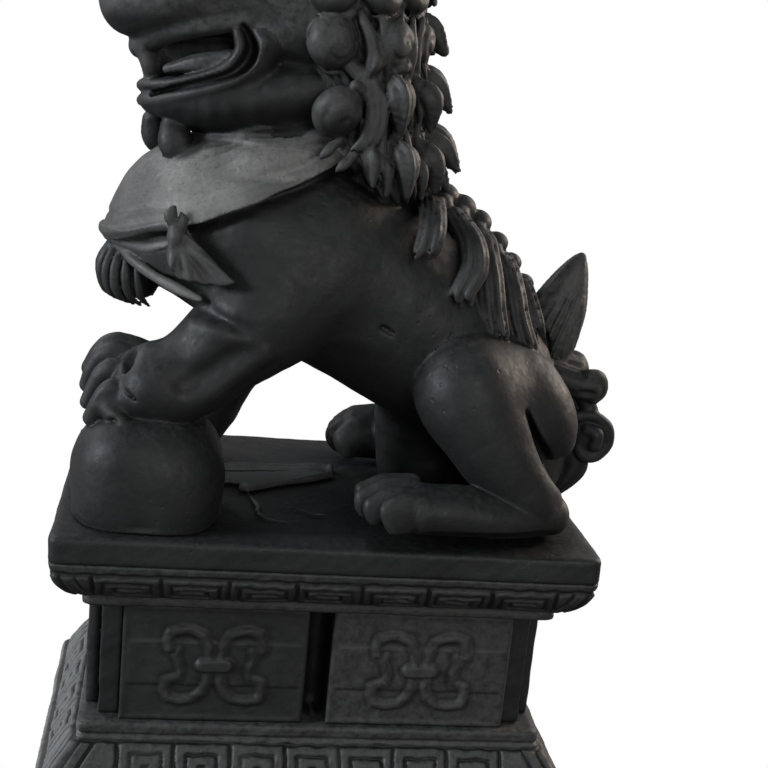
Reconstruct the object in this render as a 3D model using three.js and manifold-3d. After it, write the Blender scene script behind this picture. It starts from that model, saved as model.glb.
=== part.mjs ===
// A guardian lion of cast resin, one forepaw on a ball, on a stepped plinth.
// Millimetres, +Z up. The lion looks along -X and its near side faces -Y.
// Z = 0 is the underside of the felt, and X = Y = 0 is the middle of the plinth.
import * as THREE from 'three';
import { mergeVertices } from 'three/addons/utils/BufferGeometryUtils.js';
import Module from 'manifold-3d';

const wasm = await Module();
wasm.setup();

// Fits
const joint = 0.3; // glue line between pieces that meet
const overrun = 4; // how far a cutter runs past what it cuts
const weld = 1e-4; // vertices closer than this are one

// Plinth, from the bottom up
const feltHeight = 1.5;
const feltInset = 2.5;
const footLength = 156;
const footDepth = 106;
const footHeight = 10.9;
const footEdge = 1.6;
const lowerHeight = 18.6;
const ledgeHeight = 3.4;
const ledgeProudEnds = 5; // how far the ledge stands out past the waist at the ends
const ledgeProudFaces = 5.5; // and at the front and the rear
const lowerRun = 9.2; // how far the lower moulding spreads
const waistLength = 122;
const waistDepth = 70;
const waistHeight = 35.2;
const postSize = 6;
const panelThickness = 3;
const endPanelThickness = 3.4;
const panelEdge = 0.5;
const slotWidth = 7;
const slotDepth = 9;
const corniceHeight = 14.7;
const corniceRun = 9.2;
const beadHeight = 2.6;
const beadProud = 0.4;
const slabLength = 150;
const slabDepth = 100;
const slabHeight = 7.6;
const slabEdge = 1.1;
const cornerRadius = 2.5;

// Relief on the plinth
const borderWidth = 1.3;
const reliefHeight = 0.9;
const barRelief = 1.2;
const reliefRoot = 0.4; // how deep a relief is rooted in its ground
const fretLine = 1.25;
const fretPitch = 16.4;
const lowerFretPitch = 15.6;
const fretMargin = 1.1;
const scrollLine = 2;
const scrollWidth = 32;
const scrollHeight = 25;
const scrollBarLength = 10;
const scrollBarHeight = 4.5;
const beltHeight = 15.5;
const beltRelief = 0.6;

// Lion. Its places and girths are in modules, and it is 17.8 of them tall.
const M = 10; // one module
const ballRadius = 20.8;
const bibThickness = 2.6;
const dowelRadius = 2.5;
const neckDowelLength = 22;
const footDowelLength = 14;
const footDowelSeat = 5; // how deep a foot's dowel stands in the slab
const dowelClearance = 0.3;
const ribbonHeight = 1.4;

const ledgeLength = waistLength + ledgeProudEnds * 2;
const ledgeDepth = waistDepth + ledgeProudFaces * 2;

// Levels of the stack of courses
const footBottom = feltHeight + joint;
const lowerBottom = footBottom + footHeight + joint;
const waistBottom = lowerBottom + lowerHeight + joint;
const corniceBottom = waistBottom + waistHeight + joint;
const slabBottom = corniceBottom + corniceHeight + joint;
const slabTop = slabBottom + slabHeight;
const lionFloor = slabTop + joint;

const resin = { color: 0x2a2c2e, roughness: 0.62, metalness: 0 };
const felt = { color: 0x15251c, roughness: 1, metalness: 0 };
const steel = { color: 0xa8abad, roughness: 0.35, metalness: 0.9 };

// Solids from three.js geometry, and back

function solid(geometry) {
  const bare = geometry.clone();
  for (const name of Object.keys(bare.attributes)) {
    if (name !== 'position') bare.deleteAttribute(name);
  }
  const merged = mergeVertices(bare, weld);
  const vertProperties = new Float32Array(merged.attributes.position.array);
  const triVerts = new Uint32Array(merged.index.array);
  return new wasm.Manifold(new wasm.Mesh({ numProp: 3, vertProperties, triVerts }));
}

function join(...solids) {
  return solids.reduce((a, b) => a.add(b));
}

function cut(body, ...cutters) {
  return cutters.reduce((a, b) => a.subtract(b), body);
}

// Cutting can part a crumb from a sculpted piece. The piece is its largest body.
function mainBody(body) {
  return body.decompose().sort((a, b) => b.volume() - a.volume())[0];
}

function part(name, body, look) {
  const { vertProperties, triVerts } = mainBody(body).getMesh();
  const geometry = new THREE.BufferGeometry();
  geometry.setAttribute('position', new THREE.BufferAttribute(vertProperties, 3));
  geometry.setIndex(new THREE.BufferAttribute(triVerts, 1));
  geometry.computeVertexNormals();
  const mesh = new THREE.Mesh(geometry, new THREE.MeshStandardMaterial(look));
  mesh.name = name;
  return mesh;
}

// A closed skin over rings that hold the same number of points, with a fan on each end.
function skin(rings, firstTip, lastTip) {
  const count = rings[0].length;
  const points = [firstTip, ...rings.flat(), lastTip];
  const last = points.length - 1;
  const faces = [];
  for (let j = 0; j < count; j++) {
    const k = (j + 1) % count;
    faces.push(0, 1 + k, 1 + j);
    for (let i = 0; i + 1 < rings.length; i++) {
      const a = 1 + i * count;
      const b = a + count;
      faces.push(a + j, a + k, b + k, a + j, b + k, b + j);
    }
    const top = 1 + (rings.length - 1) * count;
    faces.push(last, top + j, top + k);
  }
  const geometry = new THREE.BufferGeometry().setFromPoints(points);
  geometry.setIndex(faces);
  return solid(geometry);
}

// A level ring: a rectangle with rounded corners.
function rectangleRing(halfLength, halfDepth, radius, z) {
  const steps = 2;
  const ring = [];
  for (let corner = 0; corner < 4; corner++) {
    const sx = corner === 0 || corner === 3 ? 1 : -1;
    const sy = corner < 2 ? 1 : -1;
    for (let i = 0; i <= steps; i++) {
      const angle = (corner + i / steps) * Math.PI / 2;
      const x = sx * (halfLength - radius) + radius * Math.cos(angle);
      const y = sy * (halfDepth - radius) + radius * Math.sin(angle);
      ring.push(new THREE.Vector3(x, y, z));
    }
  }
  return ring;
}

// A course of the plinth. The profile holds [how far out, height] from the bottom up.
function course(length, depth, bottom, profile) {
  const rings = profile.map(([out, z]) =>
    rectangleRing(length / 2 + out, depth / 2 + out, cornerRadius, bottom + z));
  const low = bottom + profile[0][1];
  const high = bottom + profile.at(-1)[1];
  return skin(rings, new THREE.Vector3(0, 0, low), new THREE.Vector3(0, 0, high));
}

const mitreLimit = 0.5; // the least cosine of half a bend that keeps its full mitre

// The outline of a line of even width along points [x, y], mitred at its bends.
function stroke(points, width) {
  const left = [];
  const right = [];
  points.forEach((point, i) => {
    const here = new THREE.Vector2(...point);
    const before = new THREE.Vector2(...points[Math.max(i - 1, 0)]);
    const after = new THREE.Vector2(...points[Math.min(i + 1, points.length - 1)]);
    const arrive = (i ? here.clone().sub(before) : after.clone().sub(here)).normalize();
    const leave = (i < points.length - 1 ? after.clone().sub(here) : arrive.clone()).normalize();
    const bisector = arrive.clone().add(leave).normalize();
    const reach = width / 2 / Math.max(bisector.dot(arrive), mitreLimit);
    const side = new THREE.Vector2(-bisector.y, bisector.x).multiplyScalar(reach);
    left.push(here.clone().add(side));
    right.unshift(here.clone().sub(side));
  });
  return new THREE.Shape([...left, ...right]);
}

function raise(shape, height, root = reliefRoot) {
  const geometry = new THREE.ExtrudeGeometry(shape, {
    depth: height + root, bevelEnabled: false, curveSegments: 4,
  });
  return geometry.translate(0, 0, -root);
}

const fretTurnShare = 0.29;

// A square spiral, one key of the fret, [width, height] between its outer lines.
function fretKey(width, height, mirrored) {
  const step = Math.min(width, height) * fretTurnShare;
  const path = [
    [0, 0], [0, height], [width, height], [width, step], [step, step],
    [step, height - step], [width - step, height - step],
  ];
  const centred = path.map(([x, y]) => [(mirrored ? -1 : 1) * (x - width / 2), y - height / 2]);
  return raise(stroke(mirrored ? centred.reverse() : centred, fretLine), reliefHeight);
}

// A row of keys on the front slope between two edges, [half depth, z], low edge first.
function fretRow(low, high, halfLength, pitch) {
  const slope = new THREE.Vector2(low[0] - high[0], high[1] - low[1]);
  const length = slope.length();
  const up = new THREE.Vector3(0, slope.x / length, slope.y / length);
  const along = new THREE.Vector3(1, 0, 0);
  const out = along.clone().cross(up);
  const middle = new THREE.Vector3(0, -(low[0] + high[0]) / 2, (low[1] + high[1]) / 2);
  const keyHeight = length - (borderWidth + fretMargin) * 2 - fretLine;
  const count = Math.floor((halfLength * 2 - pitch / 2) / pitch);
  const keys = [];
  for (let i = 0; i < count; i++) {
    const key = fretKey(pitch - fretLine - fretMargin, keyHeight, i % 2 === 1);
    const place = middle.clone().addScaledVector(along, (i - (count - 1) / 2) * pitch);
    key.applyMatrix4(new THREE.Matrix4().makeBasis(along, up, out).setPosition(place));
    keys.push(solid(key));
  }
  return keys;
}

function bothSides(solids) {
  return [...solids, ...solids.map((s) => s.rotate([0, 0, 180]))];
}

// A slope from [out, z] to [out, z] with a raised border along each edge.
function borderedSlope([lowOut, lowZ], [highOut, highZ]) {
  const run = new THREE.Vector2(highOut - lowOut, highZ - lowZ);
  const length = run.length();
  const along = run.clone().normalize();
  const out = new THREE.Vector2(along.y, -along.x);
  const at = (distance, rise) => [
    lowOut + along.x * distance + out.x * rise,
    lowZ + along.y * distance + out.y * rise,
  ];
  const edge = borderWidth + fretMargin / 2;
  return [
    at(0, 0), at(fretMargin / 2, reliefHeight), at(edge, reliefHeight), at(edge + reliefRoot, 0),
    at(length - edge - reliefRoot, 0), at(length - edge, reliefHeight),
    at(length - fretMargin / 2, reliefHeight), at(length, 0),
  ];
}

function baseFelt() {
  const length = footLength - feltInset * 2;
  const depth = footDepth - feltInset * 2;
  return course(length, depth, 0, [[0, 0], [0, feltHeight]]);
}

function footSlab() {
  const profile = [
    [-footEdge, 0], [0, footEdge], [0, footHeight - footEdge],
    [-footEdge / 3, footHeight - footEdge / 3], [-footEdge, footHeight],
  ];
  return course(footLength, footDepth, footBottom, profile);
}

function lowerMoulding() {
  const slopeTop = lowerHeight - ledgeHeight;
  const toe = ledgeHeight / 2;
  const profile = [
    [lowerRun, 0], ...borderedSlope([lowerRun, toe], [0, slopeTop]), [0, lowerHeight],
  ];
  const body = course(ledgeLength, ledgeDepth, lowerBottom, profile);
  const low = [ledgeDepth / 2 + lowerRun, lowerBottom + toe];
  const high = [ledgeDepth / 2, lowerBottom + slopeTop];
  const keys = fretRow(low, high, (ledgeLength + lowerRun) / 2, lowerFretPitch);
  return join(body, ...bothSides(keys));
}

function cornice() {
  const length = slabLength - corniceRun * 2;
  const depth = slabDepth - corniceRun * 2;
  const profile = [
    [beadProud / 2, 0], [beadProud, beadHeight / 2], [beadProud / 2, beadHeight],
    ...borderedSlope([0, beadHeight + reliefRoot], [corniceRun, corniceHeight]),
  ];
  const body = course(length, depth, corniceBottom, profile);
  const low = [depth / 2, corniceBottom + beadHeight + reliefRoot];
  const high = [depth / 2 + corniceRun, corniceBottom + corniceHeight];
  const keys = fretRow(low, high, (length + corniceRun) / 2, fretPitch);
  return join(body, ...bothSides(keys));
}

function topSlab() {
  const profile = [
    [-slabEdge / 3, 0], [0, slabEdge / 3], [0, slabHeight - slabEdge],
    [-slabEdge / 3, slabHeight - slabEdge / 3], [-slabEdge, slabHeight],
  ];
  return course(slabLength, slabDepth, slabBottom, profile);
}

function block(length, depth, height, x, y, bottom) {
  const geometry = new THREE.BoxGeometry(length, depth, height);
  return solid(geometry.translate(x, y, bottom + height / 2));
}

// The black slot between the panels: round at its foot, open at its top.
function slotCutter(side) {
  const radius = slotWidth / 2;
  const shape = new THREE.Shape();
  shape.moveTo(radius, waistHeight + overrun);
  shape.lineTo(-radius, waistHeight + overrun);
  shape.lineTo(-radius, radius);
  shape.absarc(0, radius, radius, Math.PI, Math.PI * 2, false);
  const depth = slotDepth + panelThickness + overrun;
  const geometry = new THREE.ExtrudeGeometry(shape, { depth, bevelEnabled: false, curveSegments: 8 });
  geometry.rotateX(Math.PI / 2);
  geometry.translate(0, slotDepth - waistDepth / 2, waistBottom);
  return side < 0 ? solid(geometry) : solid(geometry).rotate([0, 0, 180]);
}

function waistCore() {
  const inner = joint + postSize;
  const lengthwise = block(waistLength, waistDepth - inner * 2, waistHeight, 0, 0, waistBottom);
  const crosswise = block(waistLength - inner * 2, waistDepth, waistHeight, 0, 0, waistBottom);
  return cut(join(lengthwise, crosswise), slotCutter(-1), slotCutter(1));
}

function cornerPost(sx, sy) {
  const x = sx * (waistLength - postSize) / 2;
  const y = sy * (waistDepth - postSize) / 2;
  return block(postSize, postSize, waistHeight, x, y, waistBottom);
}

function plate(width, height, thickness) {
  const shape = new THREE.Shape();
  const w = width / 2 - panelEdge;
  const h = height / 2 - panelEdge;
  shape.moveTo(-w, -h);
  shape.lineTo(w, -h);
  shape.lineTo(w, h);
  shape.lineTo(-w, h);
  const bevel = { bevelEnabled: true, bevelThickness: panelEdge, bevelSize: panelEdge };
  const depth = thickness - panelEdge * 2;
  const geometry = new THREE.ExtrudeGeometry(shape, { depth, bevelSegments: 1, ...bevel });
  return geometry.translate(0, 0, panelEdge);
}

// Half of the pair of scrolls: a C whose ends curl in to the middle of its open side.
const scrollShares = [
  [0.5, 0.08], [0.66, 0.2], [0.68, 0.38], [0.5, 0.48], [0.16, 0.44],
  [0, 0.2], [0, -0.2], [0.16, -0.44], [0.5, -0.48], [0.68, -0.38], [0.66, -0.2], [0.5, -0.08],
];

const scrollWidestShare = 0.68;
const scrollGapShare = 1.6; // from the middle to a scroll's back, in widths of its line

function scroll(side) {
  const near = scrollLine * scrollGapShare;
  const reach = (scrollWidth - scrollLine) / 2 - near;
  const points = scrollShares.map(([x, y]) => [
    side * (near + x / scrollWidestShare * reach), y * (scrollHeight - scrollLine),
  ]);
  return raise(stroke(side > 0 ? points : points.reverse(), scrollLine), reliefHeight);
}

function panel(side, face) {
  const inner = slotWidth / 2;
  const outer = waistLength / 2 - postSize;
  const width = outer - inner;
  const height = waistHeight;
  const body = solid(plate(width, height, panelThickness));
  const ground = panelThickness;
  const bar = new THREE.Shape();
  const round = scrollBarHeight / 2;
  const straight = scrollBarLength / 2 - round;
  bar.absarc(straight, 0, round, -Math.PI / 2, Math.PI / 2, false);
  bar.absarc(-straight, 0, round, Math.PI / 2, Math.PI * 1.5, false);
  const barSolid = solid(raise(bar, barRelief)).translate([0, 0, ground]);
  const pieces = [body, barSolid];
  for (const s of [-1, 1]) {
    pieces.push(solid(scroll(s)).translate([0, 0, ground]));
    const beltEnd = scrollWidth / 2 - scrollLine;
    const beltLength = width / 2 - panelEdge - beltEnd;
    const belt = new THREE.BoxGeometry(beltLength, beltHeight, beltRelief + reliefRoot);
    const rise = ground + (beltRelief - reliefRoot) / 2;
    pieces.push(solid(belt.translate(s * (beltEnd + beltLength / 2), 0, rise)));
  }
  const x = side * (inner + outer) / 2;
  const placed = join(...pieces).rotate([90, 0, 0])
    .translate([x, -waistDepth / 2 - joint, waistBottom + height / 2]);
  return face < 0 ? placed : placed.rotate([0, 0, 180]);
}

function endPanel(side) {
  const width = waistDepth - (postSize + joint) * 2;
  const body = solid(plate(width, waistHeight, endPanelThickness)).rotate([90, 0, 0]);
  const placed = body.rotate([0, 0, 90])
    .translate([waistLength / 2 + joint, 0, waistBottom + waistHeight / 2]);
  return side > 0 ? placed : placed.rotate([0, 0, 180]);
}

// Sculpted forms

const level = new THREE.Vector3(0, 1, 0);
const domeShare = 0.75; // how far a form's end bulges, as a share of its smaller girth
const domeAngle = 0.75; // where the ring of a dome lies, in radians from its rim
const ballRingShare = 0.6; // rings of a rounded lump to its sides
const skullSides = 14;
const knobSides = 8;
const beadSides = 6;

// A rounded form along a spine. Each row is [x, y, z, half width, half height] in modules
// above the slab: the width lies across the spine and the height square to both.
function form(rows, grow = 0, { sides = 9, steps = 2, across = level } = {}) {
  const spine = new THREE.CatmullRomCurve3(
    rows.map(([x, y, z]) => new THREE.Vector3(x * M, y * M, z * M + slabTop)),
    false, 'catmullrom', 0.5);
  const girth = new THREE.CatmullRomCurve3(
    rows.map((row) => new THREE.Vector3(row[3] * M, row[4] * M, 0)), false, 'catmullrom', 0.5);
  const rings = [];
  const count = (rows.length - 1) * steps;
  const ring = (t, slide, scale) => {
    const tangent = spine.getTangent(t);
    const side = across.clone().addScaledVector(tangent, -across.dot(tangent)).normalize();
    const up = tangent.clone().cross(side);
    const { x: width, y: height } = girth.getPoint(t);
    const centre = spine.getPoint(t).addScaledVector(tangent, slide);
    const points = [];
    for (let j = 0; j < sides; j++) {
      const angle = j / sides * Math.PI * 2;
      points.push(centre.clone()
        .addScaledVector(side, (width + grow) * scale * Math.cos(angle))
        .addScaledVector(up, (height + grow) * scale * Math.sin(angle)));
    }
    return points;
  };
  const reach = (row) => Math.min(row[3], row[4]) * M * domeShare + grow;
  const lift = Math.sin(domeAngle);
  const shrink = Math.cos(domeAngle);
  rings.push(ring(0, -reach(rows[0]) * lift, shrink));
  for (let i = 0; i <= count; i++) rings.push(ring(i / count, 0, 1));
  rings.push(ring(1, reach(rows.at(-1)) * lift, shrink));
  const first = spine.getPoint(0).addScaledVector(spine.getTangent(0), -reach(rows[0]));
  const last = spine.getPoint(1).addScaledVector(spine.getTangent(1), reach(rows.at(-1)));
  return skin(rings, first, last);
}

function blob([x, y, z], [rx, ry, rz], sides, grow = 0) {
  const geometry = new THREE.SphereGeometry(1, sides, Math.round(sides * ballRingShare));
  geometry.rotateX(Math.PI / 2);
  geometry.scale(rx * M + grow, ry * M + grow, rz * M + grow);
  return solid(geometry.translate(x * M, y * M, z * M + slabTop));
}

function mirror(rows) {
  return rows.map(([x, y, ...rest]) => [x, -y, ...rest]);
}

const torsoShares = [
  [-4.9, 0, 7.7, 2.0, 1.8], [-3.0, 0, 7.8, 2.9, 2.6], [-0.9, 0, 7.2, 3.15, 2.85],
  [1.0, 0, 6.2, 3.1, 2.75], [3.0, 0, 5.0, 3.0, 2.6], [4.7, 0, 3.7, 2.7, 2.2],
  [5.8, 0, 2.1, 2.2, 1.65], [6.0, 0, 0.9, 1.7, 1.3],
];
const neckShares = [
  [-1.7, 0, 9.0, 2.3, 2.2], [-1.6, 0, 11.6, 1.9, 1.8],
];
// The resin left standing between the belly and the slab
const webShares = [[3.5, 0.8, 3.2, 1.8, 1.4], [3.8, 0.8, 0.6, 1.8, 1.3]];
const nearShoulderShares = [
  [-0.6, -1.6, 8.3, 1.1, 1.5], [-1.2, -2.0, 7.1, 1.35, 2.0], [-2.1, -2.3, 5.75, 1.35, 1.6],
  [-3.2, -2.5, 4.75, 1.2, 1.2], [-4.5, -2.7, 3.7, 1.15, 1.05], [-5.5, -2.65, 3.6, 1.25, 1.05],
];
const nearToeShares = [
  [-6.1, -1.7, 4.2], [-6.35, -2.3, 3.8], [-6.4, -2.9, 3.35], [-6.15, -3.5, 2.95],
];
const toeGirthShare = 0.5;
const toeHeadingShare = [-1, 0, -0.35];
// A toe from root to tip, [how far along, drop, half width, half height], in toe girths.
const toeSectionShares = [[-1.75, 0, 0.9, 0.9], [0, 0, 1, 1.06], [0.88, 0.3, 0.8, 0.8]];
const farForelegShares = [
  [-0.5, 1.6, 8.0, 1.1, 1.5], [-1.0, 1.9, 6.6, 1.3, 1.9], [-2.0, 2.2, 4.8, 1.2, 1.4],
  [-3.2, 2.4, 2.9, 1.1, 1.15], [-3.9, 2.5, 1.4, 1.2, 1.1], [-4.7, 2.5, 0.8, 1.35, 0.85],
];
const farToeShares = [[-5.55, 1.7, 0.62], [-5.7, 2.5, 0.62], [-5.55, 3.3, 0.62]];
const nearThighShares = [
  [3.75, -2.1, 4.45, 1.1, 1.45], [4.2, -2.6, 3.6, 1.5, 1.85], [4.8, -3.0, 2.45, 1.45, 1.5],
  [5.8, -3.15, 1.1, 1.05, 1.05],
];
const hipShares = [
  [5.3, -1.6, 4.2, 1.15, 1.15], [6.3, -1.85, 3.0, 1.15, 1.1], [6.85, -1.95, 1.7, 0.85, 0.8],
];
const nearFootShares = [
  [6.2, -3.2, 0.72, 0.8, 0.7], [4.6, -3.65, 0.8, 0.85, 0.75], [3.0, -4.0, 0.88, 0.88, 0.82],
  [2.3, -4.05, 0.85, 0.92, 0.8],
];
const nearHindToeShares = [[1.45, -3.4, 0.9], [1.5, -4.0, 0.82], [1.8, -4.55, 0.75]];
const farThighShares = mirror(nearThighShares);
const farFootShares = [
  [5.6, 3.0, 0.75, 0.85, 0.7], [3.8, 3.1, 0.8, 0.85, 0.75], [2.2, 3.1, 0.95, 0.95, 0.9],
  [1.4, 3.1, 0.9, 1.05, 0.85],
];
const farHindToeShares = [[0.8, 2.45, 0.95], [0.7, 3.1, 0.9], [0.9, 3.75, 0.8]];
const headShares = [
  [0.2, 0, 13.9, 2.0, 2.3], [-1.3, 0, 14.1, 2.65, 2.75], [-3.0, 0, 14.3, 2.65, 1.8],
  [-4.7, 0, 14.05, 2.35, 1.5], [-6.0, 0, 13.65, 2.0, 1.1], [-6.5, 0, 13.6, 1.6, 0.85],
];
const skullShare = [-2.3, 0, 15.1];
const skullGirthShare = [2.7, 2.65, 2.15];
const jawShares = [
  [-0.8, 0, 11.9, 2.2, 1.5], [-2.6, 0, 11.55, 2.4, 1.2], [-4.2, 0, 11.25, 2.15, 0.95],
  [-5.3, 0, 11.3, 1.5, 0.7],
];
const tongueShares = [
  [-3.4, 0, 12.25, 1.2, 0.4], [-4.4, 0, 12.3, 1.2, 0.36], [-5.2, 0, 12.2, 0.95, 0.3],
];

// Ball

const ballShare = [-5.05, -2.7, 1.0];

function ball(grow = 0) {
  const [x, y, z] = ballShare;
  const geometry = new THREE.SphereGeometry(ballRadius + grow, 18, 12);
  geometry.rotateX(Math.PI / 2);
  return solid(geometry.translate(x * M, y * M, z * M + slabTop));
}

function toes(places, grow) {
  const heading = new THREE.Vector3(...toeHeadingShare).normalize();
  return places.map(([x, y, z]) => form(toeSectionShares.map(([along, drop, width, height]) => [
    x + heading.x * along * toeGirthShare, y, z + (heading.z * along - drop) * toeGirthShare,
    width * toeGirthShare, height * toeGirthShare,
  ]), grow, { sides: 5, steps: 1 }));
}

function nearForeleg(grow = 0) {
  return join(form(nearShoulderShares, grow), ...toes(nearToeShares, grow));
}

function farForeleg(grow = 0) {
  return join(form(farForelegShares, grow), ...toes(farToeShares, grow));
}

const plain = { sides: 8, steps: 1 };

function nearHindLeg(grow = 0) {
  return join(form(nearThighShares, grow), form(hipShares, grow, plain),
    form(nearFootShares, grow, plain), ...toes(nearHindToeShares, grow));
}

function farHindLeg(grow = 0) {
  return join(form(farThighShares, grow), form(mirror(hipShares), grow, plain),
    form(farFootShares, grow, plain), ...toes(farHindToeShares, grow));
}

function torso(grow = 0) {
  return join(form(torsoShares, grow, { sides: 12 }), form(neckShares, grow, plain),
    form(webShares, grow, plain));
}

function head(grow = 0) {
  return join(form(headShares, grow, { sides: 12 }), blob(skullShare, skullGirthShare, skullSides, grow));
}

function jaw(grow = 0) {
  return form(jawShares, grow, { sides: 10 });
}

// Face

const eyeShare = [-4.55, -1.4, 15.45];
const eyeGirthShare = [0.62, 0.62, 0.62];
const browShares = [
  [-5.0, -0.75, 15.95, 0.4, 0.36], [-4.6, -1.55, 16.35, 0.5, 0.45], [-3.6, -2.3, 16.0, 0.4, 0.4],
];
const browAcrossShare = [-1, 0, 1];
const noseShares = [
  [-4.9, 0, 15.15, 0.5, 0.45], [-6.0, 0, 14.85, 0.6, 0.55], [-6.75, 0, 14.65, 0.8, 0.55],
];
const nostrilShare = [-6.65, -0.8, 14.55];
const nostrilGirthShare = [0.45, 0.45, 0.4];
const earShares = [
  [-2.0, -2.4, 15.7, 0.28, 0.6], [-1.75, -3.0, 16.3, 0.3, 0.66], [-1.5, -3.4, 16.9, 0.14, 0.25],
];
const earAcrossShare = [0.6, -0.8, 0];

function eye(side, grow = 0) {
  const [x, y, z] = eyeShare;
  return blob([x, -side * y, z], eyeGirthShare, knobSides, grow);
}

function brow(side, grow = 0) {
  const rows = side < 0 ? browShares : mirror(browShares);
  const across = new THREE.Vector3(...browAcrossShare).normalize();
  return form(rows, grow, { sides: 7, across });
}

function nose(grow = 0) {
  const [x, y, z] = nostrilShare;
  const wings = [-1, 1].map((s) => blob([x, s * y, z], nostrilGirthShare, beadSides, grow));
  return join(form(noseShares, grow, { sides: 8, steps: 1 }), ...wings);
}

function ear(side, grow = 0) {
  const rows = side < 0 ? earShares : mirror(earShares);
  const [ax, ay, az] = earAcrossShare;
  const across = new THREE.Vector3(ax, -side * ay, az);
  return form(rows, grow, { sides: 6, steps: 1, across });
}

// Mane: a collar of curls over a rounded ground

const maneGroundShares = [
  [1.2, 0, 9.4, 2.1, 1.5], [0.5, 0, 11.0, 2.75, 2.0], [-0.2, 0, 13.0, 2.95, 2.15],
  [-0.8, 0, 15.0, 2.75, 2.15], [-1.4, 0, 16.3, 2.0, 1.7],
];
const maneHeartShare = [-1.6, 0, 13.2];
// Snail curls on one side, [x, y, z, radius]: cheek, then back to the nape.
const curlShares = [
  [-1.1, -2.65, 14.55, 0.82], [-0.95, -2.8, 13.1, 0.85], [-0.7, -2.85, 11.35, 0.88],
  [0.25, -2.55, 14.6, 0.75], [0.65, -2.5, 13.2, 0.72],
  [1.1, -1.8, 14.6, 0.7], [1.55, -1.75, 13.05, 0.68],
  [1.75, -0.7, 14.3, 0.72], [2.1, -0.65, 12.75, 0.7], [2.5, -0.6, 11.5, 0.6],
];
// Curls on the middle line and over the crown, with their mirror images where y is not zero.
const crownShares = [
  [1.2, 0, 15.7, 0.75], [0.3, 0, 16.9, 0.75], [-1.1, 0, 17.3, 0.75], [-2.6, 0, 17.1, 0.72],
  [0.2, -1.4, 16.3, 0.75], [-1.3, -1.5, 16.8, 0.75], [-2.7, -1.35, 16.65, 0.68],
];
// Leaf curls on one side, root then tip, [x, y, z], and their half width.
const leafShares = [
  [[0.6, -2.5, 12.3], [0.95, -2.75, 10.95], 0.5], [[0.9, -2.5, 10.8], [1.25, -2.75, 9.4], 0.45],
  [[1.6, -1.9, 12.3], [2.05, -2.0, 10.8], 0.5], [[1.75, -1.9, 10.8], [2.2, -2.0, 9.4], 0.45],
  [[2.2, -1.0, 10.8], [2.9, -1.1, 9.6], 0.55], [[2.1, 0, 11.5], [2.95, 0, 9.9], 0.6],
];

// Section of a curl, [radius, rise]. A large one has a groove round its knob.
const largeCurlShare = 0.8;
const largeSectionShares = [[0, -0.7], [1, -0.1], [0.8, 0.5], [0.5, 0.42], [0.3, 0.64], [0, 0.7]];
const smallSectionShares = [[0, -0.6], [1, -0.1], [0.7, 0.52], [0, 0.75]];
const curlSides = 6;

// A bun of hair, standing out from the heart of the mane.
function curl([x, y, z, radius], grow) {
  const profileShares = radius > largeCurlShare ? largeSectionShares : smallSectionShares;
  const size = radius * M + grow;
  const geometry = new THREE.LatheGeometry(
    profileShares.map(([r, h]) => new THREE.Vector2(r * size, h * size)), curlSides);
  const [hx, hy, hz] = maneHeartShare;
  const out = new THREE.Vector3(x - hx, y - hy, z - hz).normalize();
  geometry.applyQuaternion(new THREE.Quaternion().setFromUnitVectors(level, out));
  return solid(geometry.translate(x * M, y * M, z * M + slabTop));
}

// Sections of a leaf curl: [half width as a share of the leaf's, half height].
const leafSectionShares = [[0.8, 0.45], [1, 0.55], [0.35, 0.2]];

function leaf([root, tip, width], grow) {
  const middle = root.map((value, i) => (value + tip[i]) / 2);
  const rows = [root, middle, tip].map((place, i) => {
    const [widthShare, height] = leafSectionShares[i];
    return [...place, width * widthShare, height];
  });
  return form(rows, grow, { sides: 5, steps: 1 });
}

function mirrorAll(places) {
  return places.flatMap((p) => (p[1] === 0 ? [p] : [p, [p[0], -p[1], p[2], p[3]]]));
}

function mirrorLeaves(leaves) {
  return leaves.flatMap(([a, b, w]) => (a[1] === 0 ? [[a, b, w]]
    : [[a, b, w], [[a[0], -a[1], a[2]], [b[0], -b[1], b[2]], w]]));
}

function mane(grow = 0) {
  return join(form(maneGroundShares, grow, { sides: 10, steps: 1 }),
    ...mirrorAll([...curlShares, ...crownShares]).map((c) => curl(c, grow)),
    ...mirrorLeaves(leafShares).map((l) => leaf(l, grow)));
}

// Back: a ridge of hair with flame locks down each flank

const ridgeShares = [
  [2.4, 0, 8.95, 0.6, 0.7], [3.4, 0, 8.4, 0.65, 0.72], [4.5, 0, 7.45, 0.6, 0.7],
  [5.4, 0, 6.4, 0.5, 0.55], [5.9, 0, 5.5, 0.4, 0.4],
];
const lockShares = [
  [[2.35, -0.7, 9.05], [2.25, -2.25, 8.5], [1.85, -2.9, 7.6], 0.45],
  [[3.15, -0.6, 8.65], [3.4, -2.1, 7.9], [3.15, -2.85, 6.4], 0.42],
  [[3.9, -0.5, 8.1], [4.05, -1.9, 7.2], [4.3, -2.6, 5.3], 0.44],
  [[4.7, -0.4, 7.4], [4.9, -1.6, 6.5], [5.3, -2.25, 4.9], 0.4],
];

// Sections of a lock: [half width as a share of the lock's, half height].
const lockSectionShares = [[0.8, 0.45], [1, 0.5], [0.5, 0.3]];

function backLocks(grow = 0) {
  const pieces = [form(ridgeShares, grow, { sides: 8, steps: 1 })];
  const across = new THREE.Vector3(1, 0, 0);
  for (const side of [1, -1]) {
    for (const [root, bend, tip, width] of lockShares) {
      const rows = [root, bend, tip].map(([x, y, z], i) => {
        const [widthShare, height] = lockSectionShares[i];
        return [x, y * side, z, width * widthShare, height];
      });
      pieces.push(form(rows, grow, { sides: 6, steps: 1, across }));
    }
  }
  return join(...pieces);
}

// Tail: an upright plume with a rolled curl on each side and a lock below

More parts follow.
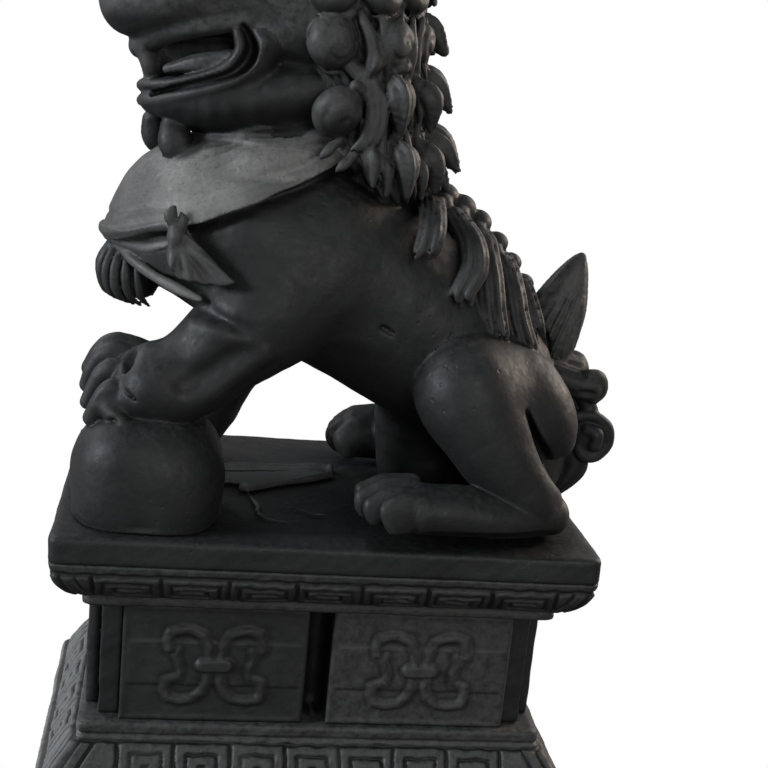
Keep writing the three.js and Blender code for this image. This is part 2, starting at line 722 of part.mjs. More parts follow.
const plumeShares = [
  [6.35, 0, 4.4, 0.5, 0.85], [6.55, 0, 5.3, 0.75, 0.95], [6.8, 0, 6.3, 0.65, 0.8],
  [7.15, 0, 7.5, 0.25, 0.25],
];
const rollShares = [
  [6.3, -0.6, 4.3, 0.55, 0.55], [7.1, -0.9, 4.1, 0.6, 0.56], [7.65, -0.98, 3.95, 0.56, 0.54],
];
const scrollCurlShare = [7.8, -0.65, 2.35];
const scrollCurlGirthShare = [0.8, 0.55, 0.75];
const tailLockShares = [
  [7.1, 0, 3.4, 0.9, 0.7], [7.65, 0, 2.0, 0.95, 0.7], [7.6, 0, 1.0, 0.7, 0.5],
  [7.3, 0, 0.35, 0.35, 0.25],
];

function tailPlume(grow = 0) {
  return form(plumeShares, grow);
}

function tailRoll(side, grow = 0) {
  return form(side < 0 ? rollShares : mirror(rollShares), grow, { sides: 8 });
}

function tailLock(grow = 0) {
  const [x, y, z] = scrollCurlShare;
  const knobs = [-1, 1].map((s) => blob([x, s * y, z], scrollCurlGirthShare, knobSides, grow));
  return join(form(tailLockShares, grow, { sides: 8, steps: 1 }), ...knobs);
}

// Dress: bib, bows, tassel and beard

const bibOutlineShares = [
  [0.6, 10.9], [-0.65, 9.85], [-1.55, 9.35], [-2.8, 8.82], [-4.1, 8.18], [-5.0, 6.5], [-6.1, 6.9],
  [-7.5, 7.2], [-7.6, 9.4], [-6.6, 10.4], [-4.0, 10.9],
];
const bowShares = {
  knot: [-4.6, -2.75, 7.75],
  knotGirth: [0.42, 0.5, 0.42],
  loops: [[-4.7, -2.7, 8.15], [-4.5, -2.8, 7.1]],
  loopGirth: [0.33, 0.42, 0.48],
  tails: [[-3.3, -3.35, 6.95], [-3.15, -3.3, 6.65]],
  tailSections: [[0.2, 0.16], [0.34, 0.2], [0.1, 0.1]],
};
const tasselShares = [
  [-5.95, 0, 7.1, 1.0, 0.75], [-5.95, 0, 6.4, 1.3, 0.95], [-5.7, 0, 5.9, 1.1, 0.75],
];
const beardShares = [
  [-4.95, -0.95, 10.45, 0.4, 0.4], [-4.85, -1.1, 10.05, 0.46, 0.46],
  [-4.6, -1.2, 9.8, 0.32, 0.28],
];

function bib(grow = 0) {
  const outline = bibOutlineShares.map(([x, z]) => new THREE.Vector2(x * M, z * M + slabTop));
  const depth = slabDepth;
  const wedge = new THREE.ExtrudeGeometry(new THREE.Shape(outline), { depth, bevelEnabled: false });
  wedge.rotateX(Math.PI / 2).translate(0, depth / 2, 0);
  return torso(joint + bibThickness + grow).intersect(solid(wedge));
}

function bow(side, grow = 0) {
  const flip = ([x, y, z]) => [x, -side * y, z];
  const knot = flip(bowShares.knot);
  const pieces = [blob(knot, bowShares.knotGirth, beadSides, grow)];
  for (const loop of bowShares.loops) {
    pieces.push(blob(flip(loop), bowShares.loopGirth, beadSides, grow));
  }
  for (const tail of bowShares.tails) {
    const end = flip(tail);
    const middle = knot.map((value, i) => (value + end[i]) / 2);
    const rows = [knot, middle, end].map((place, i) => [...place, ...bowShares.tailSections[i]]);
    pieces.push(form(rows, grow, { sides: 5, steps: 1 }));
  }
  return join(...pieces);
}

function tassel(grow = 0) {
  return form(tasselShares, grow);
}

function beard(side, grow = 0) {
  return form(side < 0 ? beardShares : mirror(beardShares), grow, { sides: 6 });
}

// A thin ribbon of the ball, lying on the slab behind it.
const ribbonShares = [
  [-3.2, 1.0], [0.6, 1.5], [0.3, 0.6], [-1.5, -0.5], [-2.4, -1.0], [-2.7, -0.5], [-3.3, -0.6],
];

function ballRibbon() {
  const outline = ribbonShares.map(([x, y]) => new THREE.Vector2(x * M, y * M));
  const geometry = new THREE.ExtrudeGeometry(new THREE.Shape(outline), {
    depth: ribbonHeight, bevelEnabled: false,
  });
  return solid(geometry.translate(0, 0, lionFloor));
}

// Dowels. Each stands upright: [x, y] in modules, then its lower end and its length.

const neckDowelShare = [-1.7, 0, 11];
const dowels = {
  neck: [neckDowelShare, slabTop + neckDowelShare[2] * M, neckDowelLength],
  front_foot: [[-4.2, 2.5], slabTop - footDowelSeat, footDowelLength],
  rear_foot: [[4.6, -3.4], slabTop - footDowelSeat, footDowelLength],
};

function rod([[x, y], bottom, length], clearance) {
  const radius = dowelRadius + clearance;
  const height = length + clearance * 2;
  const geometry = new THREE.CylinderGeometry(radius, radius, height, 12);
  geometry.rotateX(Math.PI / 2);
  return solid(geometry.translate(x * M, y * M, bottom + length / 2));
}

function dowel(name) {
  return rod(dowels[name], 0);
}

function socket(name) {
  return rod(dowels[name], dowelClearance);
}

// Assembly. Each sculpted piece is cut by the pieces that it meets, grown by the glue line.

const floorCutter = block(slabLength * 2, slabDepth * 2, slabTop, 0, 0, lionFloor - slabTop);

const bodies = {
  base_felt: baseFelt(),
  foot_slab: footSlab(),
  lower_moulding: lowerMoulding(),
  waist_core: waistCore(),
  cornice: cornice(),
};
for (const [face, sy] of [['front', -1], ['rear', 1]]) {
  for (const [hand, sx] of [['left', -1], ['right', 1]]) {
    bodies[`corner_post_${face}_${hand}`] = cornerPost(sx, sy);
    bodies[`${face}_panel_${hand}`] = panel(sx * -sy, sy);
  }
}
bodies.end_panel_left = endPanel(-1);
bodies.end_panel_right = endPanel(1);
bodies.top_slab = cut(topSlab(), socket('front_foot'), socket('rear_foot'));

bodies.ball = cut(ball(), floorCutter);
bodies.torso = cut(torso(), floorCutter, socket('neck'));
bodies.near_foreleg = cut(nearForeleg(), torso(joint), ball(joint));
bodies.far_foreleg = cut(farForeleg(), torso(joint), ball(joint), floorCutter,
  socket('front_foot'));
bodies.near_hind_leg = cut(nearHindLeg(), torso(joint), floorCutter, socket('rear_foot'));
bodies.far_hind_leg = cut(farHindLeg(), torso(joint), floorCutter);
const limbs = [nearForeleg(joint), farForeleg(joint), nearHindLeg(joint), farHindLeg(joint)];
bodies.mane = cut(mane(), torso(joint), nearForeleg(joint), farForeleg(joint), socket('neck'));
bodies.head = cut(head(), mane(joint), torso(joint), eye(-1, joint), eye(1, joint),
  brow(-1, joint), brow(1, joint), nose(joint), socket('neck'));
bodies.lower_jaw = cut(jaw(), head(joint), mane(joint), torso(joint), socket('neck'));
bodies.tongue = cut(form(tongueShares, 0, { sides: 8, steps: 1 }), head(joint), jaw(joint));
bodies.nose = cut(nose(), brow(-1, joint), brow(1, joint), eye(-1, joint), eye(1, joint));
for (const [hand, side] of [['left', -1], ['right', 1]]) {
  bodies[`eye_${hand}`] = cut(eye(side), brow(side, joint));
  bodies[`brow_${hand}`] = cut(brow(side), mane(joint));
  bodies[`ear_${hand}`] = cut(ear(side), mane(joint), head(joint));
}
bodies.bib = cut(bib(), torso(joint), ...limbs, jaw(joint), mane(joint), beard(-1, joint),
  beard(1, joint));
bodies.beard_left = cut(beard(-1), jaw(joint), torso(joint));
bodies.beard_right = cut(beard(1), jaw(joint), torso(joint));
bodies.tassel = cut(tassel(), bib(joint), torso(joint), ...limbs);
bodies.bow_left = cut(bow(-1), bib(joint), torso(joint), ...limbs);
bodies.bow_right = cut(bow(1), bib(joint), torso(joint), ...limbs);
bodies.back_locks = cut(backLocks(), torso(joint), ...limbs, mane(joint));
bodies.tail_plume = cut(tailPlume(), torso(joint), ...limbs, backLocks(joint));
const tailCutters = [torso(joint), ...limbs, backLocks(joint), tailPlume(joint), floorCutter];
bodies.tail_roll_left = cut(tailRoll(-1), ...tailCutters);
bodies.tail_roll_right = cut(tailRoll(1), ...tailCutters);
bodies.tail_lock = cut(tailLock(), ...tailCutters, tailRoll(-1, joint), tailRoll(1, joint));
bodies.ball_ribbon = cut(ballRibbon(), ball(joint), farForeleg(joint), farHindLeg(joint));
bodies.neck_dowel = dowel('neck');
bodies.front_foot_dowel = dowel('front_foot');
bodies.rear_foot_dowel = dowel('rear_foot');

const looks = {
  base_felt: felt, neck_dowel: steel, front_foot_dowel: steel, rear_foot_dowel: steel,
};
const figurine = new THREE.Group();
for (const [name, body] of Object.entries(bodies)) {
  figurine.add(part(name, body, looks[name] ?? resin));
}

export default figurine;
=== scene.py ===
import math

import bpy
import numpy as np
from mathutils import Matrix, Vector


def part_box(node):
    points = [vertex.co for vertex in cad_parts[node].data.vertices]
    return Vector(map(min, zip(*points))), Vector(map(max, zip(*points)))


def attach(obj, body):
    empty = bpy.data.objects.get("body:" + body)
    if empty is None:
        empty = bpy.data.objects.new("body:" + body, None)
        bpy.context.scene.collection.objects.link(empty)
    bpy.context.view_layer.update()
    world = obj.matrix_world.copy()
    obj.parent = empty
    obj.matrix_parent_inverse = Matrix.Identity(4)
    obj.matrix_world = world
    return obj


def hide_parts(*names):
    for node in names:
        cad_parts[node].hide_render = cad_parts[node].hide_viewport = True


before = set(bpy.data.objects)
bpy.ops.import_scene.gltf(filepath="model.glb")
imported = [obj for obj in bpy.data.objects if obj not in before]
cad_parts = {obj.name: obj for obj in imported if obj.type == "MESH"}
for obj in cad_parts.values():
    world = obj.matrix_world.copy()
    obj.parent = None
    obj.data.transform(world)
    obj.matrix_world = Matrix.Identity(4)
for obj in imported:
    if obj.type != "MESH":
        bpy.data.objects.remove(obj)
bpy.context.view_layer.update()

# The sculpt is worked in modules above the slab, with the slab's middle as its origin.
MODULE = 0.010
MM = 0.001
SLAB_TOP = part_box("top_slab")[1].z
GRAIN = 0.065  # the sculpt's finest step, in modules
COARSER = 1  # how much wider apart the plinth's points are
FAR = 0.8  # how far from a surface the field is worked out, in modules
EDGE_REACH, EDGE_FULL = 0.1, 0.03  # how wide and how keen an edge has to be to show wear
HOLLOW_REACH = 0.6  # how far round a point its shelter is measured
HAIR = 0.02  # the thinnest that a swept form gets, in modules
TINY = 1e-9

PIECES = [
    "torso", "near_foreleg", "far_foreleg", "near_hind_leg", "far_hind_leg", "ball", "ball_ribbon",
    "head", "lower_jaw", "tongue", "nose", "eye_left", "eye_right", "brow_left", "brow_right",
    "ear_left", "ear_right", "mane", "bib", "beard_left", "beard_right", "tassel", "bow_left",
    "bow_right", "back_locks", "tail_plume", "tail_roll_left", "tail_roll_right", "tail_lock",
]
LABELS = {name: i + 1 for i, name in enumerate(PIECES)}


# Clay: a field of distances on a grid, with the piece that each grid point belongs to

def smooth_min(a, b, blend):
    """The lesser of two distances, the corner between them rounded over the blend."""
    if blend <= 0:
        return np.minimum(a, b)
    near = np.maximum(blend - np.abs(a - b), 0) / blend
    return np.minimum(a, b) - near * near * blend / 4


def smooth_max(a, b, blend):
    return -smooth_min(-a, -b, blend)


class Clay:
    """The grid that the sculpt is built on: a distance and a piece for each of its points."""

    def __init__(self, low, high, step):
        self.low = np.array(low, float)
        self.step = step
        count = np.ceil((np.array(high) - self.low) / step).astype(int) + 1
        self.field = np.full(count, FAR, np.float32)
        self.label = np.zeros(count, np.uint8)

    def window(self, low, high):
        """The part of the grid between two corners, as slices and as x, y and z of its points."""
        first = np.floor((np.array(low) - self.low) / self.step).astype(int)
        last = np.ceil((np.array(high) - self.low) / self.step).astype(int) + 1
        first, last = np.maximum(first, 0), np.minimum(last, self.field.shape)
        part = tuple(slice(a, b) for a, b in zip(first, last))
        axes = [self.low[i] + self.step * np.arange(first[i], last[i]) for i in range(3)]
        x, y, z = np.meshgrid(*[a.astype(np.float32) for a in axes], indexing="ij", sparse=True)
        return part, x, y, z

    def merge(self, part, d, piece, blend):
        here = self.field[part]
        self.label[part] = np.where(d < here, LABELS[piece], self.label[part])
        self.field[part] = smooth_min(here, d, blend)

    def add(self, form, piece, blend=0.0):
        """Joins a form on, rounded into what is there over the blend, as part of the piece."""
        low, high, distance = form
        part, x, y, z = self.window(low - FAR / 2, high + FAR / 2)
        self.merge(part, distance(x, y, z), piece, blend)

    def lay(self, rows, piece, blend=0.0, **shape):
        """Joins on a form swept along rows."""
        self.add(sweep(rows, **shape), piece, blend)

    def cut(self, form, blend=0.0):
        """Takes a form away, its rim rounded over the blend."""
        low, high, distance = form
        part, x, y, z = self.window(low - FAR / 2, high + FAR / 2)
        self.field[part] = smooth_max(self.field[part], -distance(x, y, z), blend)

    def carve(self, rows, blend=0.0, **shape):
        """Takes away a form swept along rows."""
        self.cut(sweep(rows, **shape), blend)


# Forms: each is its lowest corner, its highest corner and its distance function

def spline(rows, steps):
    """Points along a Catmull-Rom curve through the rows, steps to a span."""
    rows = np.array(rows, float)
    padded = np.vstack([2 * rows[0] - rows[1], rows, 2 * rows[-1] - rows[-2]])
    out = []
    for i in range(1, len(padded) - 2):
        a, b, c, d = padded[i - 1:i + 3]
        for t in np.arange(steps) / steps:
            out.append(0.5 * (2 * b + (c - a) * t + (2 * a - 5 * b + 4 * c - d) * t * t
                              + (3 * b - a - 3 * c + d) * t ** 3))
    out.append(rows[-1])
    return np.array(out)


def unit(v):
    v = np.array(v, float)
    return v / max(np.linalg.norm(v), TINY)


def sweep(rows, across=(0, 1, 0), steps=3, dome=0.8, relief=None, soft=0.0):
    """A rounded form along a spine of [x, y, z, half width, half height]. The width lies along
    across, dome is how far its ends bulge, and soft rounds its stretches into each other.
    relief(s, a, b) raises its surface: s runs along it, a and b are its sides, -1 to 1."""
    line = spline(rows, steps)
    line[:, 3:] = np.maximum(line[:, 3:], HAIR)
    reach = line[:, 3:].max(1, keepdims=True)
    low, high = (line[:, :3] - reach).min(0), (line[:, :3] + reach).max(0)

    def distance(x, y, z):
        best = along = side = rise = None
        for i in range(len(line) - 1):
            start, end = line[i], line[i + 1]
            run = (end - start)[:3]
            length = max(np.linalg.norm(run), TINY)
            tangent = run / length
            wide = unit(np.array(across, float) - tangent * np.dot(across, tangent))
            tall = np.cross(tangent, wide)
            px, py, pz = x - start[0], y - start[1], z - start[2]
            c = px * tangent[0] + py * tangent[1] + pz * tangent[2]
            t = np.clip(c / length, 0, 1)
            w = start[3] + (end[3] - start[3]) * t
            h = start[4] + (end[4] - start[4]) * t
            e = np.minimum(w, h) * dome
            a = (px * wide[0] + py * wide[1] + pz * wide[2]) / w
            b = (px * tall[0] + py * tall[1] + pz * tall[2]) / h
            c = (c - t * length) / e
            near = np.sqrt(a * a + b * b + c * c) + 1e-6
            slope = np.sqrt((a / w) ** 2 + (b / h) ** 2 + (c / e) ** 2) + 1e-6
            d = near * (near - 1) / slope
            if best is None:
                best = d
                if relief:
                    along, side, rise = (i + t) / (len(line) - 1), a / near, b / near
                continue
            if relief:
                closer = d < best
                along = np.where(closer, (i + t) / (len(line) - 1), along)
                side = np.where(closer, a / near, side)
                rise = np.where(closer, b / near, rise)
            best = smooth_min(best, d, soft)
        return best - relief(along, side, rise) if relief else best

    return low, high, distance


def lump(at, size, axes=None, relief=None):
    """An ellipsoid: its size is one radius or three, and axes holds its own directions as rows."""
    centre, radii = np.array(at, float), np.ones(3) * size
    axes = np.eye(3) if axes is None else np.array(axes, float)
    reach = radii.max()

    def distance(x, y, z):
        px, py, pz = x - centre[0], y - centre[1], z - centre[2]
        own = [(px * r[0] + py * r[1] + pz * r[2]) / radius for r, radius in zip(axes, radii)]
        near = np.sqrt(sum(p * p for p in own)) + 1e-6
        slope = np.sqrt(sum((p / radius) ** 2 for p, radius in zip(own, radii))) + 1e-6
        d = near * (near - 1) / slope
        return d - relief(*[p / near for p in own]) if relief else d

    return centre - reach, centre + reach, distance


def flipped(rows):
    return [[row[0], -row[1], *row[2:]] for row in rows]


def turned(side):
    """What puts rows drawn for the near side on the near side, 1, or the far side, -1."""
    return (lambda rows: rows) if side > 0 else flipped


def outline_distance(points, u, v):
    """Signed distance in a plane to a closed outline, negative inside."""
    points = np.array(points, float)
    nearest = inside = None
    for a, b in zip(points, np.roll(points, -1, 0)):
        run = b - a
        t = np.clip(((u - a[0]) * run[0] + (v - a[1]) * run[1]) / run.dot(run), 0, 1)
        d = (u - a[0] - t * run[0]) ** 2 + (v - a[1] - t * run[1]) ** 2
        crosses = ((a[1] > v) != (b[1] > v)) & (
            u < (b[0] - a[0]) * (v - a[1]) / (b[1] - a[1] + 1e-12) + a[0])
        nearest = d if nearest is None else np.minimum(nearest, d)
        inside = crosses if inside is None else inside ^ crosses
    return np.where(inside, -1, 1) * np.sqrt(nearest)


def grooves(count, depth, phase=0.0):
    """Relief of count strands across a form, fading towards its tip."""
    def relief(s, a, b):
        return depth * (np.abs(np.cos((a * count / 2 + phase) * math.pi)) - 0.6) * (1 - 0.5 * s)
    return relief


def snail(turns, depth):
    """Relief of a spiral groove on the outward face of a curl."""
    half = 0.13  # of the groove, in turns

    def relief(a, b, c):
        radius = np.sqrt(a * a + b * b)
        turn = radius * turns - np.arctan2(b, a) / (2 * math.pi)
        off = np.abs(turn - np.round(turn))
        return -depth * np.exp(-(off / half) ** 2) * np.clip(c * 3 + 0.6, 0, 1)
    return relief


def outward(place, heart):
    """Axes of a curl whose third axis leads from the heart of the mane."""
    out = unit(np.array(place) - heart)
    up = unit(np.array([0, 0, 1.0]) - out * out[2])
    return np.array([np.cross(up, out), up, out])


# The body

TORSO = [
    [-4.9, 0, 7.7, 2.0, 1.8], [-3.0, 0, 7.8, 2.9, 2.6], [-0.9, 0, 7.2, 3.1, 2.85],
    [1.0, 0, 6.2, 3.05, 2.7], [3.0, 0, 5.0, 2.95, 2.55], [4.7, 0, 3.7, 2.6, 2.1],
    [5.8, 0, 2.1, 2.0, 1.5], [6.0, 0, 0.9, 1.6, 1.2],
]
NECK = [[-1.7, 0, 8.6, 2.3, 2.2], [-1.6, 0, 11.6, 1.9, 1.8]]
NEAR_FORELEG = [
    [-0.6, -1.6, 8.3, 1.1, 1.5], [-1.2, -2.0, 7.1, 1.35, 2.0], [-2.1, -2.3, 5.8, 1.35, 1.6],
    [-3.2, -2.5, 4.75, 1.2, 1.3], [-4.4, -2.7, 3.75, 1.1, 1.05], [-5.2, -2.7, 3.6, 1.15, 1.0],
]
FAR_FORELEG = [
    [-0.5, 1.6, 8.0, 1.1, 1.5], [-1.0, 1.9, 6.6, 1.3, 1.9], [-2.0, 2.2, 4.8, 1.2, 1.4],
    [-3.2, 2.4, 2.9, 1.1, 1.15], [-3.9, 2.5, 1.4, 1.2, 1.1], [-4.7, 2.5, 0.8, 1.35, 0.85],
]
THIGH = [
    [3.3, -2.35, 4.75, 1.05, 1.2], [3.55, -2.85, 4.1, 1.4, 1.5], [4.1, -3.0, 3.15, 1.4, 1.3],
    [4.75, -3.1, 2.2, 1.25, 1.1], [5.4, -3.2, 1.3, 1.1, 0.98], [5.8, -3.2, 0.85, 0.9, 0.8],
]
HIP = [
    [4.2, -1.8, 4.4, 1.25, 1.25], [5.1, -2.1, 4.1, 1.3, 1.15], [5.85, -2.25, 3.5, 1.2, 1.0],
    [6.25, -2.25, 2.95, 1.0, 0.8], [6.5, -2.2, 2.5, 0.6, 0.5],
]
WEB = [[3.3, 0.8, 3.6, 1.9, 1.6], [3.0, 0.9, 2.0, 1.9, 1.3], [3.4, 0.9, 0.5, 1.9, 1.5]]
NEAR_FOOT = [
    [6.3, -3.2, 0.65, 0.7, 0.62], [4.9, -3.7, 0.75, 0.82, 0.66], [3.3, -4.0, 0.9, 0.85, 0.72],
    [2.4, -4.05, 0.95, 0.85, 0.72],
]
FAR_FOOT = [
    [5.6, 3.0, 0.75, 0.85, 0.7], [3.8, 3.0, 0.85, 0.85, 0.8], [2.2, 3.0, 1.0, 0.95, 0.9],
    [1.4, 3.1, 0.95, 1.0, 0.85],
]
BALL = [-5.05, -2.7, 1.0]
BALL_RADIUS = 2.08


def joined(forms, blend):
    """Several forms as one, rounded into each other over the blend."""
    lows, highs, distances = zip(*forms)

    def distance(x, y, z):
        best = distances[0](x, y, z)
        for other in distances[1:]:
            best = smooth_min(best, other(x, y, z), blend)
        return best

    return np.min(lows, 0), np.max(highs, 0), distance


def toe(root, tip, width, height):
    """A toe with a knuckle: full over its middle, lower and rounder at its tip."""
    root, tip = np.array(root), np.array(tip)
    rows = [
        [*root, width * 0.85, height * 0.8],
        [*(root * 0.45 + tip * 0.55 + [0, 0, height * 0.12]), width, height],
        [*tip, width * 0.9, height * 0.85],
    ]
    return sweep(rows, dome=1.0)


def sculpt_body(clay):
    """Torso, legs and paws, the ball with its ribbon, and the flash on the slab."""
    clay.lay(TORSO, "torso", soft=0.3)
    clay.lay(NECK, "torso", 0.7, steps=2)
    clay.lay(WEB, "torso", 0.5, soft=0.2)
    clay.lay(NEAR_FORELEG, "near_foreleg", 0.45, soft=0.25)
    clay.lay(FAR_FORELEG, "far_foreleg", 0.45, soft=0.25)

    # Shoulder blades, then the ridge and the hollow along the forearm, and the crease over it
    for side, piece in ((1, "near_foreleg"), (-1, "far_foreleg")):
        clay.add(lump([-2.7, -2.2 * side, 7.5], [1.4, 0.95, 1.4]), piece, 0.6)
    valley = [[-4.3, -4.0, 3.95, 0.3, 0.3], [-3.5, -4.0, 4.4, 0.36, 0.34], [-2.7, -3.98, 4.95, 0.25, 0.3]]
    clay.carve(valley, 0.45)
    ridge = [[-5.0, -3.2, 3.0, 0.3, 0.26], [-4.2, -3.45, 3.3, 0.3, 0.26], [-3.2, -3.5, 4.1, 0.28, 0.28],
             [-2.2, -3.5, 5.0, 0.2, 0.25]]
    clay.lay(ridge, "near_foreleg", 0.3)
    brow = [[-3.95, -3.05, 5.4, 0.2, 0.2], [-3.4, -3.3, 5.36, 0.26, 0.22], [-2.7, -3.45, 5.25, 0.18, 0.16]]
    clay.lay(brow, "near_foreleg", 0.35)
    crease = [[-4.8, -2.85, 6.1, 0.4, 0.16], [-4.1, -3.25, 5.98, 0.38, 0.14],
              [-3.4, -3.65, 5.78, 0.28, 0.1], [-2.8, -3.95, 5.6, 0.2, 0.08]]
    for side in (1, -1):
        clay.carve(turned(side)(crease), 0.4, steps=4)

    # Wrist and paw over the ball: knuckles that stand up, toes that drop over its front
    hand = [[-4.6, -2.7, 3.75, 1.15, 1.05], [-5.3, -2.6, 3.7, 1.15, 0.85], [-5.9, -2.5, 3.3, 1.0, 0.6]]
    clay.lay(hand, "near_foreleg", 0.4, across=(0, 1, 0.35))
    toes = [
        [[-5.1, -1.7, 4.3], [-6.1, -1.5, 4.42], [-6.5, -1.45, 4.15], [-6.8, -1.4, 3.65]],
        [[-5.2, -2.15, 4.2], [-6.2, -2.02, 4.22], [-6.6, -1.95, 3.85], [-6.84, -1.9, 3.3]],
        [[-5.2, -2.65, 4.05], [-6.18, -2.62, 3.92], [-6.55, -2.58, 3.52], [-6.78, -2.52, 3.0]],
        [[-5.1, -3.1, 3.75], [-6.05, -3.2, 3.58], [-6.4, -3.2, 3.2], [-6.62, -3.1, 2.75]],
    ]
    girths = [[0.2, 0.25], [0.29, 0.36], [0.26, 0.32], [0.24, 0.28]]
    for spine in toes:
        rows = [[*p, w, h] for p, (w, h) in zip(spine, girths)]
        clay.lay(rows, "near_foreleg", 0.02, steps=4, dome=1.0)
        clay.add(lump(spine[1], [0.36, 0.3, 0.36]), "near_foreleg", 0.06)
    dip = [[-5.75, -1.8, 4.85, 0.2, 0.12], [-5.7, -2.5, 4.6, 0.25, 0.16], [-5.6, -3.2, 4.15, 0.22, 0.12]]
    clay.carve(dip, 0.15, across=(1, 0, 0))
    clay.carve([[-5.85, -3.75, 3.72, 0.16, 0.05], [-5.45, -3.85, 3.5, 0.16, 0.05]], 0.04)
    palm = [[-6.3, -3.3, 3.15, 0.22, 0.24], [-5.95, -3.6, 2.95, 0.2, 0.22], [-5.6, -3.75, 2.7, 0.22, 0.16],
            [-4.9, -3.7, 2.75, 0.24, 0.16]]
    heel = [[-5.0, -3.2, 3.5, 0.4, 0.5], [-6.1, -3.3, 3.15, 0.3, 0.35]]
    clay.lay(heel, "near_foreleg", 0.15, steps=2)
    clay.lay(palm, "near_foreleg", 0.1)
    clay.cut(lump([-6.05, -3.95, 2.75], [0.22, 0.45, 0.26]), 0.08)

    clay.add(lump([-4.55, 2.5, 0.85], [1.25, 1.3, 0.95]), "far_foreleg", 0.4)
    for y in (1.5, 2.15, 2.85, 3.5):
        tip = [-5.95 + 0.3 * abs(y - 2.5), y, 0.5]
        clay.add(toe([-4.6, y * 0.6 + 1.0, 1.0], tip, 0.38, 0.5), "far_foreleg", 0.06)

    # Haunches: thigh, hip behind a deep crease, then the feet with their toes
    for side, piece in ((1, "near_hind_leg"), (-1, "far_hind_leg")):
        turn = turned(side)
        haunch = [sweep(turn(rows), soft=0.2) for rows in (THIGH, HIP)]
        clay.add(joined(haunch, 0.6), piece, 0.1)
        groove = [[5.15, -3.9, 3.75, 0.3, 0.04], [5.35, -3.8, 3.35, 0.5, 0.1], [5.65, -3.6, 2.8, 0.75, 0.15],
                  [6.05, -3.4, 2.2, 0.85, 0.2], [6.5, -3.3, 1.6, 0.85, 0.2]]
        clay.carve(turn(groove), 0.12, steps=4)
    clay.lay(NEAR_FOOT, "near_hind_leg", 0.06)
    clay.lay(FAR_FOOT, "far_hind_leg", 0.25)
    near_toes = [
        ([2.3, -3.15, 1.3], [0.9, -3.1, 0.95], 0.3, 0.46),
        ([2.3, -3.65, 1.3], [0.85, -3.7, 0.9], 0.3, 0.5),
        ([2.3, -4.15, 1.2], [1.05, -4.25, 0.85], 0.28, 0.5),
        ([2.4, -4.5, 1.1], [1.45, -4.7, 0.78], 0.22, 0.56),
    ]
    for root, tip, width, height in near_toes:
        clay.add(toe(root, tip, width, height), "near_hind_leg", 0.03)
    for y in (2.35, 2.9, 3.5, 4.0):
        tip = [0.75 + 0.35 * abs(y - 3.0), y, 0.72]
        clay.add(toe([1.9, y * 0.7 + 0.9, 1.1], tip, 0.4, 0.62), "far_hind_leg", 0.06)
    hollow = [[1.4, -5.15, 0.0, 0.8, 0.45], [2.6, -5.1, 0.0, 1.0, 0.55], [4.4, -5.0, 0.0, 1.05, 0.6],
              [6.4, -4.5, 0.0, 0.95, 0.55]]
    clay.carve(hollow, 0.06)

    # The ball, a little squared, with a skirt of casting flash at its foot
    x, y, z = BALL

    def squared(u, v, w):
        power = 2.5  # 2 is a sphere
        total = np.abs(u - x) ** power + np.abs(v - y) ** power + np.abs(w - z) ** power
        return (total ** (1 / power) - BALL_RADIUS) * 0.9

    reach = np.full(3, BALL_RADIUS + 0.2)
    clay.add((np.array(BALL) - reach, np.array(BALL) + reach, squared), "ball")
    skirt = BALL_RADIUS * 0.98
    clay.add(lump([x, y, 0.12], [skirt, skirt, 0.2]), "ball", 0.12)

    # Ribbon: a thin plate with a turned-up far edge
    plate = [[-3.3, 1.35], [0.6, 1.75], [0.5, 0.9], [-0.2, 0.35], [-1.4, -0.35], [-2.2, -0.9],
             [-2.5, -0.75], [-2.45, -0.35], [-2.75, -0.2], [-3.1, -0.45]]

    def lying(x, y, z):
        rim = outline_distance(plate, x, y)
        rise = 0.13 + 0.07 * np.exp(-((rim + 0.1) / 0.09) ** 2)
        trench = np.abs(y - 1.12 - 0.1 * x) - 0.07
        return smooth_max(smooth_max(rim, np.abs(z - 0.04) - rise, 0.06), 0.05 - trench, 0.03)

    clay.add((np.array([-3.5, -1.2, 0]), np.array([0.8, 1.7, 0.4]), lying), "ball_ribbon")

    # Threads of casting flash on the slab
    for thread in (
        [[-2.2, -0.9], [-2.07, -1.5], [-1.95, -2.1], [-1.98, -2.5]],
        [[-1.95, -2.75], [-1.75, -3.0], [-1.4, -3.15], [-1.05, -3.15]],
        [[-1.05, -2.0], [-0.75, -2.2], [-0.39, -2.5], [-0.08, -2.5]],
    ):
        rows = [[px, py, 0.03, 0.05, 0.08] for px, py in thread]
        clay.lay(rows, "ball_ribbon", 0.02, across=(1, 0.3, 0), steps=5)

    # A shallow tear in the skin along the flank
    slit = [[px, -3.08, pz, 0.09, 0.035] for px, pz in ((1.0, 5.7), (1.15, 5.65), (1.28, 5.57))]
    clay.carve(slit, 0.05, across=(0, 1, 0), steps=4)


def pleated_tail(side):
    """The bow's tail: a cloth triangle that hangs from the knot, its pleats fanning out."""
    knot_x, knot_z = -4.62, 7.78
    shape = [[-4.82, 7.75], [-4.42, 7.9], [-3.8, 7.38], [-3.02, 6.78], [-3.3, 6.68], [-3.8, 6.62],
             [-4.15, 6.7], [-4.55, 6.72], [-4.88, 7.1]]

    def distance(x, y, z):
        out = np.hypot(x - knot_x, z - knot_z)
        angle = np.arctan2(z - knot_z, x - knot_x)
        fold = (0.08 * np.cos(angle * 11 + 0.6) + 0.03 * np.cos(angle * 25)) * np.clip(out * 1.4 - 0.2, 0, 1)
        middle = -side * (3.08 + 0.26 * out + fold)
        return smooth_max(outline_distance(shape, x, z), np.abs(y - middle) - 0.13, 0.06)

    ends = sorted([-3.0 * side, -3.8 * side])
    return np.array([-5.0, ends[0], 6.5]), np.array([-2.9, ends[1], 8.0]), distance


